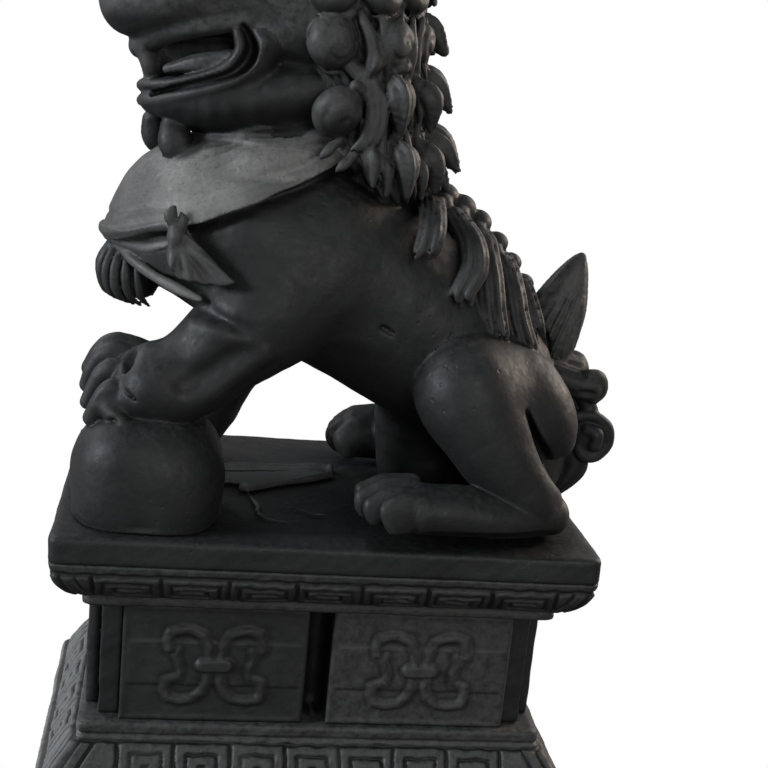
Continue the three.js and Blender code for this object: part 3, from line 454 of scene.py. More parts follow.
def sculpt_dress(clay):
    """The bib over the chest, its lower band, the bows and the tassel."""
    outline = [
        [0.7, 10.9], [0.1, 10.3], [-0.65, 9.85], [-1.55, 9.35], [-2.8, 8.82], [-3.6, 8.42],
        [-4.1, 8.18], [-4.6, 8.05], [-5.4, 7.9], [-6.1, 7.65], [-6.7, 7.4], [-7.6, 7.2],
        [-7.6, 10.2], [-4.4, 10.6], [-1.6, 10.75], [0.2, 11.2],
    ]
    part, x, y, z = clay.window([-7.4, -3.9, 6.6], [0.9, 3.9, 11.6])
    edge = outline_distance(outline, x, z)
    below = (z < 10) & (x < 0)
    clay.field[part] += np.where(below, 0.14 * np.exp(-((edge - 0.14) / 0.14) ** 2), 0)
    body = clay.field[part]
    lower = np.clip((10.3 - z) / 0.4, 0, 1)
    hem = 0.17 + lower * 0.2 * np.clip(1 + edge / 1.1, 0, 1) ** 1.5
    hem = hem - 0.06 * np.exp(-((edge + 0.45) / 0.06) ** 2)
    drape = 0.03 * np.sin(2.6 * x + 1.1 * z + 1.5 * np.abs(y))
    sheet = smooth_max(np.abs(body - 0.05) - hem - drape, edge, 0.05)
    clay.merge(part, sheet, "bib", 0.02)

    under = [[-7.3, 7.5], [-7.0, 6.95], [-6.3, 6.9], [-5.9, 6.7], [-5.3, 6.46], [-4.6, 6.23], [-3.9, 6.1],
             [-3.75, 6.5], [-4.2, 7.6], [-4.6, 8.3], [-6.0, 7.7]]
    lap = outline_distance(under, x, z)
    clay.merge(part, smooth_max(np.abs(body - 0.02) - 0.12, lap, 0.04), "bib", 0.02)

    band = [
        [-6.35, -0.2, 7.25, 0.14, 0.13], [-6.15, -1.0, 7.05, 0.15, 0.14], [-5.8, -1.62, 6.8, 0.16, 0.14],
        [-5.25, -2.15, 6.55, 0.16, 0.13], [-4.65, -2.58, 6.35, 0.14, 0.12], [-3.95, -2.95, 6.15, 0.08, 0.08],
    ]
    for side in (1, -1):
        turn = turned(side)
        clay.lay(turn(band), "bib", 0.04, across=(0, 0, 1), steps=4)
        roll = [[-6.55, 0, 7.52, 0.13, 0.16], [-6.4, -0.75, 7.5, 0.12, 0.15],
                [-5.98, -1.45, 7.62, 0.1, 0.13], [-5.5, -2.0, 7.78, 0.07, 0.08]]
        clay.lay(turn(roll), "bib", 0.08, across=(0, 0, 1))
        strip = [[-6.62, 0, 7.32, 0.1, 0.11], [-6.48, -0.7, 7.3, 0.11, 0.12],
                 [-6.08, -1.3, 7.25, 0.11, 0.12], [-5.5, -1.85, 7.2, 0.1, 0.12],
                 [-4.9, -2.35, 7.42, 0.06, 0.08]]
        clay.lay(turn(strip), "bib", 0.04, across=(0, 0, 1))

        # Flames of hair that lie on the bib's upper corner
        for x, y, z in ([-0.95, 2.95, 10.3], [-0.5, 3.0, 10.0]):
            y = -y * side
            rows = [[x + 0.35, y * 0.93, z + 0.35, 0.16, 0.16], [x + 0.05, y * 0.98, z, 0.16, 0.14],
                    [x - 0.15, y * 0.97, z - 0.2, 0.06, 0.06]]
            clay.lay(rows, "mane", 0.08, across=(1, 0, 0), steps=4)

    for side, piece in ((1, "bow_left"), (-1, "bow_right")):
        turn = turned(side)
        clay.add(lump([-4.68, -3.0 * side, 7.78], [0.24, 0.34, 0.36]), piece, 0.04)
        for rows in (
            [[-4.72, -3.0, 8.05, 0.13, 0.15], [-4.86, -3.05, 8.32, 0.15, 0.14],
             [-4.78, -3.05, 8.55, 0.07, 0.07]],
            [[-4.62, -3.0, 8.0, 0.12, 0.14], [-4.52, -3.05, 8.25, 0.12, 0.12],
             [-4.6, -3.05, 8.42, 0.05, 0.05]],
            [[-4.7, -3.0, 7.6, 0.14, 0.16], [-4.78, -3.08, 7.3, 0.14, 0.16], [-4.7, -3.1, 7.05, 0.1, 0.1]],
        ):
            clay.lay(turn(rows), piece, 0.04, across=(1, 0, 0))
        clay.add(pleated_tail(side), piece, 0.04)

    # Tassel: ridged strands over its front, sweeping down to a blunt foot, hollow beside them
    core = [[-5.75, 0, 7.2, 0.85, 0.55], [-5.75, 0, 6.4, 1.0, 0.6], [-5.65, 0, 5.85, 0.85, 0.5]]
    clay.lay(core, "tassel", 0.05)
    for side in (1, -1):
        clay.cut(lump([-5.15, -1.35 * side, 6.1], [0.75, 0.6, 0.75]), 0.1)
    strands = 11
    for i in range(strands):
        angle = (i / (strands - 1) * 2 - 1) * 1.75
        out_x, out_y = -math.cos(angle), math.sin(angle)
        rows = [
            [-5.8 + 0.6 * out_x, 0.95 * out_y, 7.1, 0.12, 0.14],
            [-5.85 + 0.92 * out_x, 1.32 * out_y, 6.45, 0.15, 0.17],
            [-5.75 + 0.88 * out_x, 1.28 * out_y, 5.8, 0.15, 0.16],
            [-5.45 + 0.6 * out_x, 0.95 * out_y, 5.45, 0.08, 0.08],
        ]
        clay.lay(rows, "tassel", 0.015)
    clay.cut(lump([-5.5, 0, 5.3], [0.5, 0.7, 0.3]), 0.1)


def sculpt_head(clay):
    """Skull, jaws with their rolled lips, tongue, nose, eyes, brows, ears and beard."""
    skull = [
        [0.2, 0, 13.9, 2.0, 2.3], [-1.3, 0, 14.1, 2.6, 2.7], [-3.0, 0, 14.3, 2.45, 1.6],
        [-4.7, 0, 14.15, 2.25, 1.4], [-6.0, 0, 13.75, 1.9, 1.05], [-6.5, 0, 13.65, 1.5, 0.8],
    ]
    clay.lay(skull, "head", soft=0.2)
    core = [[-1.6, 0, 12.6, 1.5, 1.2], [-4.0, 0, 12.5, 1.25, 0.9], [-5.35, 0, 12.4, 0.95, 0.75]]
    clay.lay(core, "head", steps=2)
    clay.add(lump([-2.3, 0, 15.1], [2.7, 2.6, 2.15]), "head", 0.6)

    # Jaw, undercut below, and a mouth that runs in from each side to a full middle
    jaw = [[-0.8, 0, 11.9, 2.3, 1.4], [-2.4, 0, 11.55, 2.4, 1.1], [-4.0, 0, 11.2, 2.15, 0.85],
           [-5.15, 0, 11.2, 1.5, 0.6]]
    clay.lay(jaw, "lower_jaw", 0.2, soft=0.2)
    for side in (1, -1):
        turn = turned(side)
        undercut = [[-4.9, -2.1, 10.35, 0.5, 0.14], [-3.6, -2.5, 10.44, 0.75, 0.2],
                    [-2.0, -2.75, 10.6, 0.8, 0.22], [-0.8, -2.85, 10.8, 0.6, 0.18]]
        clay.carve(turn(undercut), 0.08)
        cavity = [[-3.85, -2.5, 12.72, 0.75, 0.3], [-4.4, -2.4, 12.55, 0.9, 0.42],
                  [-5.0, -2.2, 12.3, 0.9, 0.46], [-5.7, -1.75, 12.1, 0.8, 0.36]]
        clay.carve(turn(cavity), 0.05, soft=0.1)
        cheek = [[-2.7, -1.95, 12.9, 0.5, 0.5], [-3.1, -1.95, 12.2, 0.5, 0.5],
                 [-3.9, -1.75, 11.75, 0.5, 0.42], [-4.9, -1.3, 11.4, 0.5, 0.36],
                 [-5.5, -0.6, 11.22, 0.5, 0.36]]
        clay.lay(turn(cheek), "lower_jaw", 0.25, across=(0, 1, 1))
        lip = [
            [-3.2, -2.05, 13.42, 0.2, 0.2], [-4.0, -2.02, 13.22, 0.24, 0.24],
            [-4.64, -1.88, 13.08, 0.24, 0.24], [-5.28, -1.5, 12.88, 0.26, 0.26],
            [-5.78, -0.8, 12.62, 0.3, 0.28], [-6.0, 0, 12.47, 0.32, 0.3],
        ]
        clay.lay(turn(lip), "head", 0.2, across=(0, 1, 1))
        inner = [
            [-3.42, -2.0, 13.1, 0.3, 0.14], [-3.32, -2.05, 12.74, 0.3, 0.15],
            [-3.5, -2.0, 12.38, 0.28, 0.15], [-3.88, -1.88, 12.1, 0.26, 0.13],
            [-4.34, -1.72, 11.9, 0.24, 0.12], [-4.98, -1.42, 11.7, 0.24, 0.12],
            [-5.58, -0.85, 11.54, 0.24, 0.14], [-5.8, 0, 11.48, 0.24, 0.16],
        ]
        clay.lay(turn(inner), "lower_jaw", 0.06, across=(0, 1, 0), steps=4)
        outer = [
            [-2.72, -2.3, 12.95, 0.2, 0.12], [-2.95, -2.32, 12.4, 0.22, 0.14],
            [-3.33, -2.24, 11.94, 0.22, 0.13], [-3.91, -2.1, 11.65, 0.2, 0.12],
            [-4.55, -1.86, 11.43, 0.2, 0.12], [-5.2, -1.38, 11.23, 0.22, 0.13],
            [-5.62, -0.78, 11.1, 0.22, 0.14], [-5.76, 0, 11.06, 0.22, 0.14],
        ]
        clay.lay(turn(outer), "lower_jaw", 0.1, across=(0, 1, 0), steps=4)
        groove = [
            [-3.3, -2.4, 13.3, 0.4, 0.07], [-3.1, -2.4, 13.0, 0.55, 0.16],
            [-3.04, -2.4, 12.68, 0.6, 0.2], [-3.2, -2.38, 12.32, 0.58, 0.18],
            [-3.55, -2.3, 12.02, 0.45, 0.13], [-4.1, -2.14, 11.8, 0.3, 0.1],
            [-4.8, -1.8, 11.56, 0.26, 0.09], [-5.5, -1.1, 11.3, 0.24, 0.09],
        ]
        clay.carve(turn(groove), 0.04, across=(0, 1, 0), steps=8)
        front = [[-5.85, -0.6, 12.5, 0.5, 0.3], [-5.7, -0.7, 12.1, 0.45, 0.24], [-5.6, -0.6, 11.7, 0.3, 0.2]]
        clay.lay(turn(front), "head", 0.12)
        for rise, back in ((0.42, 0.0), (0.85, 0.3)):
            crest = [[x + back, y * 1.02, z + rise, w * 0.7, h * 0.7] for x, y, z, w, h in lip[:5]]
            clay.lay(turn(crest), "head", 0.15, across=(0, 1, 1))
        pad = [[-6.3, -0.75, 13.6, 0.7, 0.7], [-5.5, -1.5, 13.75, 0.7, 0.7], [-4.6, -1.95, 14.0, 0.5, 0.6]]
        clay.lay(turn(pad), "head", 0.35)
        # The tongue's plump edge, lightly folded along its length
        edge = [[-5.15, -1.15, 12.0, 0.3, 0.17], [-4.4, -1.55, 12.22, 0.34, 0.25],
                [-3.55, -1.8, 12.44, 0.3, 0.22]]
        clay.lay(turn(edge), "head", 0.1, steps=4, relief=grooves(5, 0.04))

    tongue = [[-3.6, 0, 11.9, 1.1, 0.3], [-4.5, 0, 11.88, 1.1, 0.26], [-5.3, 0, 11.7, 0.85, 0.22],
              [-5.7, 0, 11.62, 0.5, 0.16]]

    def tongue_fold(s, a, b):
        return -0.1 * np.exp(-(a / 0.16) ** 2)

    clay.lay(tongue, "tongue", relief=tongue_fold)

    # Nose: a broad bridge between flared wings
    bridge = [[-4.4, 0, 15.3, 0.45, 0.4], [-5.4, 0, 15.05, 0.5, 0.45], [-6.3, 0, 14.8, 0.7, 0.55],
              [-6.9, 0, 14.5, 0.75, 0.5]]
    clay.lay(bridge, "nose", 0.15)
    for side in (1, -1):
        clay.add(lump([-6.6, -0.8 * side, 14.5], [0.5, 0.45, 0.42]), "nose", 0.12)
        clay.cut(lump([-7.05, -0.7 * side, 14.35], [0.25, 0.2, 0.18]), 0.08)
        wing = [[-6.4, -1.1, 14.85, 0.12, 0.14], [-6.75, -1.2, 14.5, 0.12, 0.14],
                [-6.5, -1.1, 14.15, 0.1, 0.12]]
        clay.lay(turned(side)(wing), "nose", 0.05)

    # Eyes under heavy brows, with lids above and below
    for side, hand in ((1, "left"), (-1, "right")):
        turn = turned(side)
        clay.cut(lump([-4.75, -1.5 * side, 15.4], [0.72, 0.72, 0.62]), 0.2)
        clay.add(lump([-4.55, -1.4 * side, 15.42], [0.62, 0.62, 0.6]), "eye_" + hand)
        clay.cut(lump([-5.12, -1.72 * side, 15.4], 0.13), 0.03)
        for rise, size in ((0.42, 0.2), (-0.42, 0.16)):
            lid = [[-4.95, -0.8, 15.4 + rise * 0.5, size * 0.8, size], [-5.1, -1.5, 15.4 + rise, size, size],
                   [-4.5, -2.05, 15.4 + rise * 0.7, size * 0.7, size]]
            clay.lay(turn(lid), "head", 0.06)
        arch = [[-5.25, -0.55, 15.75, 0.3, 0.3], [-5.15, -1.3, 16.25, 0.42, 0.42],
                [-4.5, -2.0, 16.35, 0.42, 0.42], [-3.5, -2.4, 15.95, 0.26, 0.28]]
        brow = "brow_" + hand
        clay.lay(turn(arch), brow, 0.05, across=(-1, 0, 1), steps=4, relief=grooves(5, 0.09))
        for i in range(4):
            at = [-5.1 + 0.45 * i, (-1.0 - 0.4 * i) * side, 16.45 + 0.08 * i]
            clay.add(lump(at, [0.3, 0.3, 0.34], outward(at, [-3, 0, 15]), snail(1.4, 0.08)), brow, 0.03)
        ear_across = (0.6, -0.8 * side, 0)
        shell = [[-2.1, -2.3, 15.7, 0.3, 0.6], [-1.85, -3.0, 16.2, 0.34, 0.72],
                 [-1.6, -3.5, 16.9, 0.14, 0.25]]
        clay.lay(turn(shell), "ear_" + hand, 0.05, across=ear_across, steps=4)
        bowl = [[-2.45, -2.6, 15.8, 0.14, 0.3], [-2.25, -3.1, 16.2, 0.14, 0.4],
                [-1.95, -3.5, 16.7, 0.05, 0.12]]
        clay.carve(turn(bowl), 0.06, across=ear_across)

        # Beard: one round tuft under each side of the chin, its point drawn back
        sway = 0.0 if side > 0 else -0.6
        tuft = [[-4.95 + sway, -0.95 * side, 10.5, 0.34, 0.34],
                [-4.85 + sway, -1.1 * side, 10.05, 0.46, 0.44],
                [-4.65 + sway, -1.15 * side, 9.8, 0.36, 0.3], [-4.1 + sway, -1.3 * side, 9.9, 0.12, 0.12]]
        clay.lay(tuft, "beard_" + hand, 0.06, steps=4, relief=grooves(3, 0.03))


def leaf_ridges(width):
    """A leaf of hair: a keen ridge near one edge and finer strands beside it."""
    def relief(s, a, b):
        ridge = 0.28 * np.exp(-((a - 0.45) / 0.24) ** 2)
        strands = 0.08 * np.cos(a * 11 + 2 * s)
        return width * (ridge + strands - 0.08) * (1 - 0.5 * s)
    return relief


def sculpt_mane(clay):
    """Combed hair under snail curls, with leaves and bands of hair between and behind them."""
    ground = [
        [1.1, 0, 9.6, 2.1, 1.4], [0.4, 0, 11.0, 2.55, 1.75], [-0.3, 0, 13.0, 2.7, 1.9],
        [-0.85, 0, 15.0, 2.6, 2.05], [-1.4, 0, 16.2, 1.9, 1.6],
    ]
    strands = 26

    def combed(s, a, b):
        around = np.arctan2(a, b) / (2 * math.pi) * strands + np.sin(9 * s)
        return 0.2 * (np.abs(np.cos(around * math.pi)) - 0.7)

    clay.lay(ground, "mane", relief=combed)
    heart = np.array([-1.6, 0, 13.2])

    # Locks that fall between the curls, each with its own sway
    rng = np.random.RandomState(7)
    for side in (1, -1):
        turn = turned(side)
        for x, y in ((-0.25, -2.72), (0.15, -2.66), (0.5, -2.55), (0.9, -2.3), (1.2, -2.0),
                     (1.35, -1.6), (1.45, -1.15), (1.5, -0.7)):
            for top, bottom in ((13.9, 12.2), (12.6, 10.8), (11.2, 9.5)):
                sway = rng.uniform(-0.2, 0.2, 3)
                drop = (13.9 - bottom) * 0.17
                rows = [
                    [x + drop * 0.35 + sway[0], y, top, 0.1, 0.13],
                    [x + drop * 0.7 + sway[1], y * 1.05, (top + bottom) / 2, 0.17, 0.18],
                    [x + drop + sway[2], y, bottom, 0.07, 0.08],
                ]
                clay.lay(turn(rows), "mane", 0.03, across=(1, 0, 0), steps=4)

    # Snail curls: [x, y, z, radius, turns, which way they wind]
    snails = [
        [-0.98, -2.72, 13.12, 0.72, 1.3, 1], [-0.72, -2.85, 11.35, 0.74, 1.4, -1],
        [0.66, -2.5, 13.22, 0.66, 1.2, -1], [1.5, -1.7, 13.3, 0.54, 1.2, 1],
        [1.7, -0.55, 13.4, 0.5, 1.2, 1], [-1.1, -2.55, 14.5, 0.74, 1.4, -1],
        [0.2, -2.45, 14.55, 0.7, 1.4, 1], [1.1, -1.75, 14.6, 0.6, 1.3, -1],
        [1.7, -0.65, 15.0, 0.58, 1.3, -1],
    ]
    crown = [
        [1.2, 0, 15.7, 0.7, 1.5, 1], [0.3, 0, 16.8, 0.72, 1.5, -1], [-1.1, 0, 17.15, 0.76, 1.6, 1],
        [-2.6, 0, 16.95, 0.68, 1.5, -1], [0.2, -1.4, 16.25, 0.72, 1.5, 1], [-1.3, -1.5, 16.7, 0.72, 1.5, -1],
        [-2.7, -1.35, 16.5, 0.64, 1.4, 1], [-0.8, -2.35, 15.8, 0.6, 1.3, 1], [0.75, -1.3, 15.2, 0.5, 1.2, 1],
    ]
    for x, y, z, radius, turns, way in snails + crown:
        for side in ((1, -1) if y else (1,)):
            place = np.array([x, y * side, z])
            axes = outward(place, heart)
            axes[0] *= way * side
            radii = [radius * 0.92, radius * 1.02, radius * 0.72]
            depth = 0.03 if z < 14 and x < 0 else 0.06
            clay.add(lump(place, radii, axes, snail(turns, depth)), "mane", 0.03)
            # A strand that wraps round the curl's back and runs down behind it
            right, up, out = outward(place, heart)
            rows = []
            for k, size in enumerate((0.15, 0.17, 0.16, 0.13, 0.09, 0.04)):
                angle = math.radians(70 - 38 * k)
                at = place + right * side * math.cos(angle) * radius * 1.12 - out * 0.12
                at = at + up * math.sin(angle) * radius * 1.15
                rows.append([*at, size, size])
            clay.lay(rows, "mane", 0.03, across=tuple(out))

    # Leaves of hair: [root, middle, tip, half width]
    leaves = [
        [[0.6, -2.55, 12.3], [0.86, -2.75, 11.7], [0.95, -2.7, 10.85], 0.42],
        [[1.3, -1.9, 12.25], [1.75, -1.95, 11.7], [1.9, -1.95, 11.0], 0.42],
        [[0.9, -2.65, 10.7], [1.15, -2.8, 10.1], [1.3, -2.75, 9.3], 0.36],
        [[1.5, -1.95, 10.7], [1.95, -2.0, 10.1], [2.2, -1.95, 9.4], 0.38],
        [[1.6, -1.25, 10.85], [2.2, -1.3, 10.45], [2.85, -1.25, 9.95], 0.34],
        [[1.7, 0, 10.9], [2.4, 0, 10.55], [3.05, 0, 10.05], 0.36],
        [[1.6, -0.6, 10.2], [2.2, -0.65, 9.8], [2.75, -0.6, 9.35], 0.34],
        [[1.3, -1.05, 12.45], [1.95, -1.1, 12.05], [2.5, -1.1, 11.55], 0.34],
        [[1.4, 0, 12.5], [2.05, 0, 12.1], [2.65, 0, 11.55], 0.36],
        [[1.0, -1.0, 13.95], [1.65, -1.1, 13.55], [2.2, -1.1, 13.1], 0.34],
        [[1.1, 0, 13.95], [1.75, 0, 13.6], [2.35, 0, 13.1], 0.34],
        [[0.45, -2.75, 10.3], [0.65, -2.85, 9.85], [0.75, -2.8, 9.3], 0.2],
        [[0.15, -2.8, 10.6], [0.3, -2.9, 10.05], [0.35, -2.9, 9.5], 0.2],
        [[1.5, -2.35, 10.4], [1.65, -2.45, 9.8], [1.75, -2.4, 9.2], 0.2],
        [[0.2, -2.6, 13.0], [0.1, -2.72, 12.55], [-0.1, -2.75, 12.2], 0.26],
        [[1.1, -2.2, 12.75], [0.85, -2.45, 12.5], [0.5, -2.6, 12.45], 0.22],
    ]
    for root, middle, tip, width in leaves:
        for side in ((1, -1) if root[1] else (1,)):
            rows = []
            for at, w, h, lift in ((root, 0.6, 0.55, 0.0), (middle, 1.1, 1.0, 0.12), (tip, 0.3, 0.34, 0.08)):
                place = np.array([at[0], at[1] * side, at[2]])
                away = (place - heart) * [1, 1, 0]
                place = place + away / np.linalg.norm(away) * lift
                rows.append([*place, width * w, width * h])
            rows[1][2] += 0.15
            across = np.cross([0, 0, 1], np.array(rows[1][:3]) - heart) * (-side if root[1] else 1)
            clay.lay(rows, "mane", 0.02, across=across, steps=5, relief=leaf_ridges(width))

    # A band of hair curving round behind the large cheek curl
    for side in (1, -1):
        turn = turned(side)
        for shift, width in ((-0.06, 0.13), (0.12, 0.14), (0.32, 0.12)):
            band = [[-0.55 + shift, -2.75, 12.55, width * 0.8, width],
                    [-0.05 + shift, -2.85, 12.1, width, width],
                    [0.2 + shift, -2.95, 11.45, width, width],
                    [0.1 + shift, -3.0, 10.8, width, width],
                    [-0.25 + shift, -3.0, 10.4, width * 0.5, width * 0.5]]
            clay.lay(turn(band), "mane", 0.03, steps=4)


def sculpt_back(clay):
    """The notched spine and the flame locks on the flanks."""
    # Spine: a row of notched lumps over a low ridge
    under = [[2.2, 0, 8.75, 0.5, 0.6], [3.4, 0, 8.05, 0.6, 0.7], [4.6, 0, 6.95, 0.55, 0.7],
             [5.7, 0, 5.5, 0.45, 0.6]]
    clay.lay(under, "back_locks", 0.15)
    spine = [[2.85, 9.1], [3.4, 8.8], [3.95, 8.4], [4.55, 7.85], [5.05, 7.3], [5.5, 6.7], [5.85, 6.0]]
    for i, (x, z) in enumerate(spine):
        size = 0.42 - 0.015 * i
        clay.add(lump([x, 0, z], [size, 0.46, size * 0.9]), "back_locks", 0.04)
        for side in (1, -1):
            clay.add(lump([x - 0.1, -0.5 * side, z - 0.22], [size * 0.7, 0.34, size * 0.8]),
                     "back_locks", 0.05)

    # Flame locks down each flank, combed, and lying close to it
    locks = [
        [[2.35, -0.8, 9.1, 0.16, 0.2], [2.3, -1.7, 8.95, 0.3, 0.28], [2.2, -2.45, 8.5, 0.36, 0.26],
         [2.05, -2.8, 7.95, 0.26, 0.18], [1.7, -3.0, 7.6, 0.08, 0.08]],
        [[3.1, -0.7, 8.75, 0.16, 0.2], [3.2, -1.5, 8.55, 0.3, 0.28], [3.42, -2.25, 8.05, 0.34, 0.26],
         [3.45, -2.55, 7.45, 0.3, 0.22], [3.15, -2.82, 6.85, 0.24, 0.16], [3.15, -2.92, 6.3, 0.08, 0.08]],
        [[3.85, -0.6, 8.25, 0.16, 0.2], [3.95, -1.25, 8.0, 0.3, 0.28], [4.02, -2.0, 7.35, 0.36, 0.28],
         [4.12, -2.45, 6.5, 0.34, 0.22], [4.3, -2.6, 5.8, 0.28, 0.16], [4.35, -2.7, 5.2, 0.08, 0.08]],
        [[4.6, -0.5, 7.65, 0.16, 0.2], [4.75, -1.1, 7.3, 0.28, 0.28], [4.85, -1.7, 6.75, 0.34, 0.26],
         [5.0, -2.05, 6.05, 0.32, 0.22], [5.25, -2.25, 5.35, 0.26, 0.16], [5.35, -2.3, 4.8, 0.08, 0.08]],
        [[5.3, -0.4, 6.9, 0.14, 0.18], [5.45, -0.9, 6.5, 0.26, 0.24], [5.6, -1.3, 5.9, 0.26, 0.2],
         [5.8, -1.5, 5.2, 0.1, 0.1]],
    ]
    for side in (1, -1):
        for rows in locks:
            rows = turned(side)(rows)
            for shift, reach, lift in ((-0.3, 0.1, 0.97), (-0.15, 0.6, 1.0), (0.0, 1.0, 0.98),
                                       (0.15, 0.4, 1.01), (0.3, 0.75, 0.97)):
                before, tip = np.array(rows[-2]), np.array(rows[-1])
                end = before + (tip - before) * [reach, reach, reach, 1, 1]
                strand = [[x + shift, y * lift, z - 0.25 * abs(shift), 0.1, max(h * 0.75, 0.12)]
                          for x, y, z, _, h in [*rows[:-1], end]]
                strand[-2][3:] = [0.09, 0.1]
                strand[-1][3:] = [0.04, 0.04]
                clay.lay(strand, "back_locks", 0.01, across=(1, 0, 0.3), steps=5)


def sculpt_tail(clay):
    """The tail: its plume, the two rolls that it springs from, and the lock below them."""
    plume = [[6.3, 0, 4.4, 0.5, 0.85], [6.5, 0, 5.3, 0.62, 0.95], [6.75, 0, 6.2, 0.6, 0.8],
             [7.0, 0, 7.0, 0.42, 0.5], [7.2, 0, 7.65, 0.14, 0.14]]
    clay.lay(plume, "tail_plume", 0.05, steps=5, relief=grooves(5, 0.07))

    def vertical(s, a, b):
        return 0.06 * np.cos(b * 17 + 3 * s)

    for side in (1, -1):
        turn = turned(side)
        cheek = [[6.45, -0.3, 4.6, 0.3, 0.7], [6.6, -0.4, 5.4, 0.32, 0.72], [6.85, -0.3, 6.2, 0.3, 0.55],
                 [7.05, -0.15, 6.9, 0.2, 0.3]]
        clay.lay(turn(cheek), "tail_plume", 0.05, steps=4, relief=vertical)
        slit = [[6.05, -0.75, 5.6, 0.3, 0.06], [6.3, -0.8, 5.1, 0.3, 0.09], [6.4, -0.8, 4.7, 0.3, 0.05]]
        clay.carve(turn(slit), 0.04)

    for side, piece in ((1, "tail_roll_left"), (-1, "tail_roll_right")):
        turn = turned(side)
        roll = [[6.0, -0.6, 4.35, 0.42, 0.42], [6.7, -0.8, 4.15, 0.5, 0.46], [7.4, -0.95, 4.0, 0.52, 0.48],
                [7.75, -0.98, 3.95, 0.5, 0.46]]
        clay.lay(turn(roll), piece, 0.04, steps=4, dome=0.7, relief=grooves(6, 0.05))
        knob = [[7.5, -1.2, 4.3, 0.24, 0.24], [7.85, -1.1, 4.2, 0.28, 0.28], [8.0, -1.0, 3.8, 0.24, 0.24],
                [7.8, -1.1, 3.55, 0.2, 0.18]]
        clay.lay(turn(knob), piece, 0.06)
        clay.cut(lump([7.45, -1.5 * side, 3.8], [0.35, 0.16, 0.1]), 0.05)

    lock = [[6.9, 0, 3.6, 0.9, 0.5], [7.35, 0, 2.6, 0.85, 0.6], [7.45, 0, 1.5, 0.7, 0.5],
            [7.35, 0, 0.8, 0.5, 0.35], [7.1, 0, 0.25, 0.2, 0.2]]
    clay.lay(lock, "tail_lock", 0.05, steps=4, relief=grooves(6, 0.08))
    for side in (1, -1):
        turn = turned(side)
        stub = [[7.6, -0.7, 3.5, 0.22, 0.24], [7.85, -0.75, 3.2, 0.2, 0.26], [7.95, -0.75, 2.85, 0.2, 0.2]]
        clay.lay(turn(stub), "tail_lock", 0.04)
        clay.add(lump([7.9, -0.62 * side, 2.35], [0.62, 0.48, 0.66]), "tail_lock", 0.05)
        knot = [[7.75, -0.98, 2.6, 0.16, 0.18], [8.05, -1.05, 2.5, 0.2, 0.2], [8.05, -1.05, 2.15, 0.18, 0.2]]
        clay.lay(turn(knot), "tail_lock", 0.04)
        rim = [[7.45, -0.85, 2.95, 0.14, 0.16], [7.95, -0.9, 3.0, 0.17, 0.18], [8.35, -0.85, 2.7, 0.18, 0.2],
               [8.48, -0.82, 2.2, 0.18, 0.2], [8.2, -0.88, 1.78, 0.17, 0.18], [7.8, -0.92, 1.75, 0.14, 0.14],
               [7.6, -0.92, 2.05, 0.12, 0.12], [7.75, -0.92, 2.35, 0.1, 0.1]]
        clay.lay(turn(rim), "tail_lock", 0.03, steps=4)
        for shift in (0.0, 0.28):
            twist = [[7.75 - shift, -0.7, 1.8, 0.16, 0.2], [7.85 - shift, -0.65, 1.3, 0.18, 0.2],
                     [7.6 - shift, -0.5, 0.75, 0.14, 0.16], [7.3 - shift, -0.3, 0.25, 0.08, 0.08]]
            clay.lay(turn(twist), "tail_lock", 0.04, steps=4)


def uneven(clay, seed, scale):
    """Soft random bumps over the whole grid, that far apart and about 1 high."""
    rng = np.random.RandomState(seed)
    spread = 0.75
    spans = [np.arange(n) * clay.step / scale for n in clay.field.shape]
    out = rng.normal(size=[int(s[-1]) + 4 for s in spans])
    for span in spans:
        away = span[:, None] - (np.arange(int(span[-1]) + 4) - 1)
        share = np.exp(-(away / spread) ** 2)
        share /= np.sqrt((share ** 2).sum(1, keepdims=True))
        out = np.tensordot(out, share.astype(np.float32), (0, 1))
    return out.astype(clay.field.dtype)


def sculpt():
    """The whole lion in clay, its parts in the order in which they are laid on."""
    clay = Clay([-8.1, -5.5, -0.4], [9.1, 5.5, 18.2], GRAIN)
    for layer in (sculpt_body, sculpt_dress, sculpt_head, sculpt_mane, sculpt_back, sculpt_tail):
        layer(clay)
    # The unevenness of a hand-worked surface, then the flat underside
    z = clay.window(clay.low, clay.low + clay.step * np.array(clay.field.shape))[3]
    clay.field += 0.022 * uneven(clay, 41, 0.9) + 0.006 * uneven(clay, 42, 0.35)
    clay.field = np.maximum(clay.field, 0.03 - z)
    return clay


# Surfaces of the sculpt: one closed skin for each piece, sharing its edges with its neighbours

CORNERS = np.array([(i, j, k) for i in (0, 1) for j in (0, 1) for k in (0, 1)])
EDGES = [(a, b) for a in range(8) for b in range(a + 1, 8)
         if np.abs(CORNERS[a] - CORNERS[b]).sum() == 1]


def blurred(values, reach, step):
    """Values on a grid of that step, averaged over that reach round each point."""
    for _ in range(max(int(round((reach / step) ** 2 * 2)), 1)):
        for axis in range(3):
            ahead, behind = np.roll(values, -1, axis), np.roll(values, 1, axis)
            values = (ahead + behind + 2 * values) / 4
    return values


def sampled(values, cells, place):
    """Values on the grid, blended at a place inside each cell."""
    out = 0
    for corner in CORNERS:
        weight = np.prod(np.where(corner, place, 1 - place), axis=1)
        at = (cells + corner).T
        value = values[at[0], at[1], at[2]]
        out = out + value * (weight if value.ndim == 1 else weight[:, None])
    return out


def settled(label, inside):
    """Labels with their ragged borders smoothed: each solid point takes what most neighbours are."""
    names = label.astype(np.int8)
    for _ in range(2):
        best, count = names.copy(), np.zeros(names.shape, np.int8)
        for value in LABELS.values():
            same = ((names == value) & inside).astype(np.int8)
            if not same.any():
                continue
            for axis in range(3):
                same = same + np.roll(same, 1, axis) + np.roll(same, -1, axis)
            more = same > count
            best, count = np.where(more, value, best), np.where(more, same, count)
        names = np.where(inside, best, names)
    return names.astype(label.dtype)


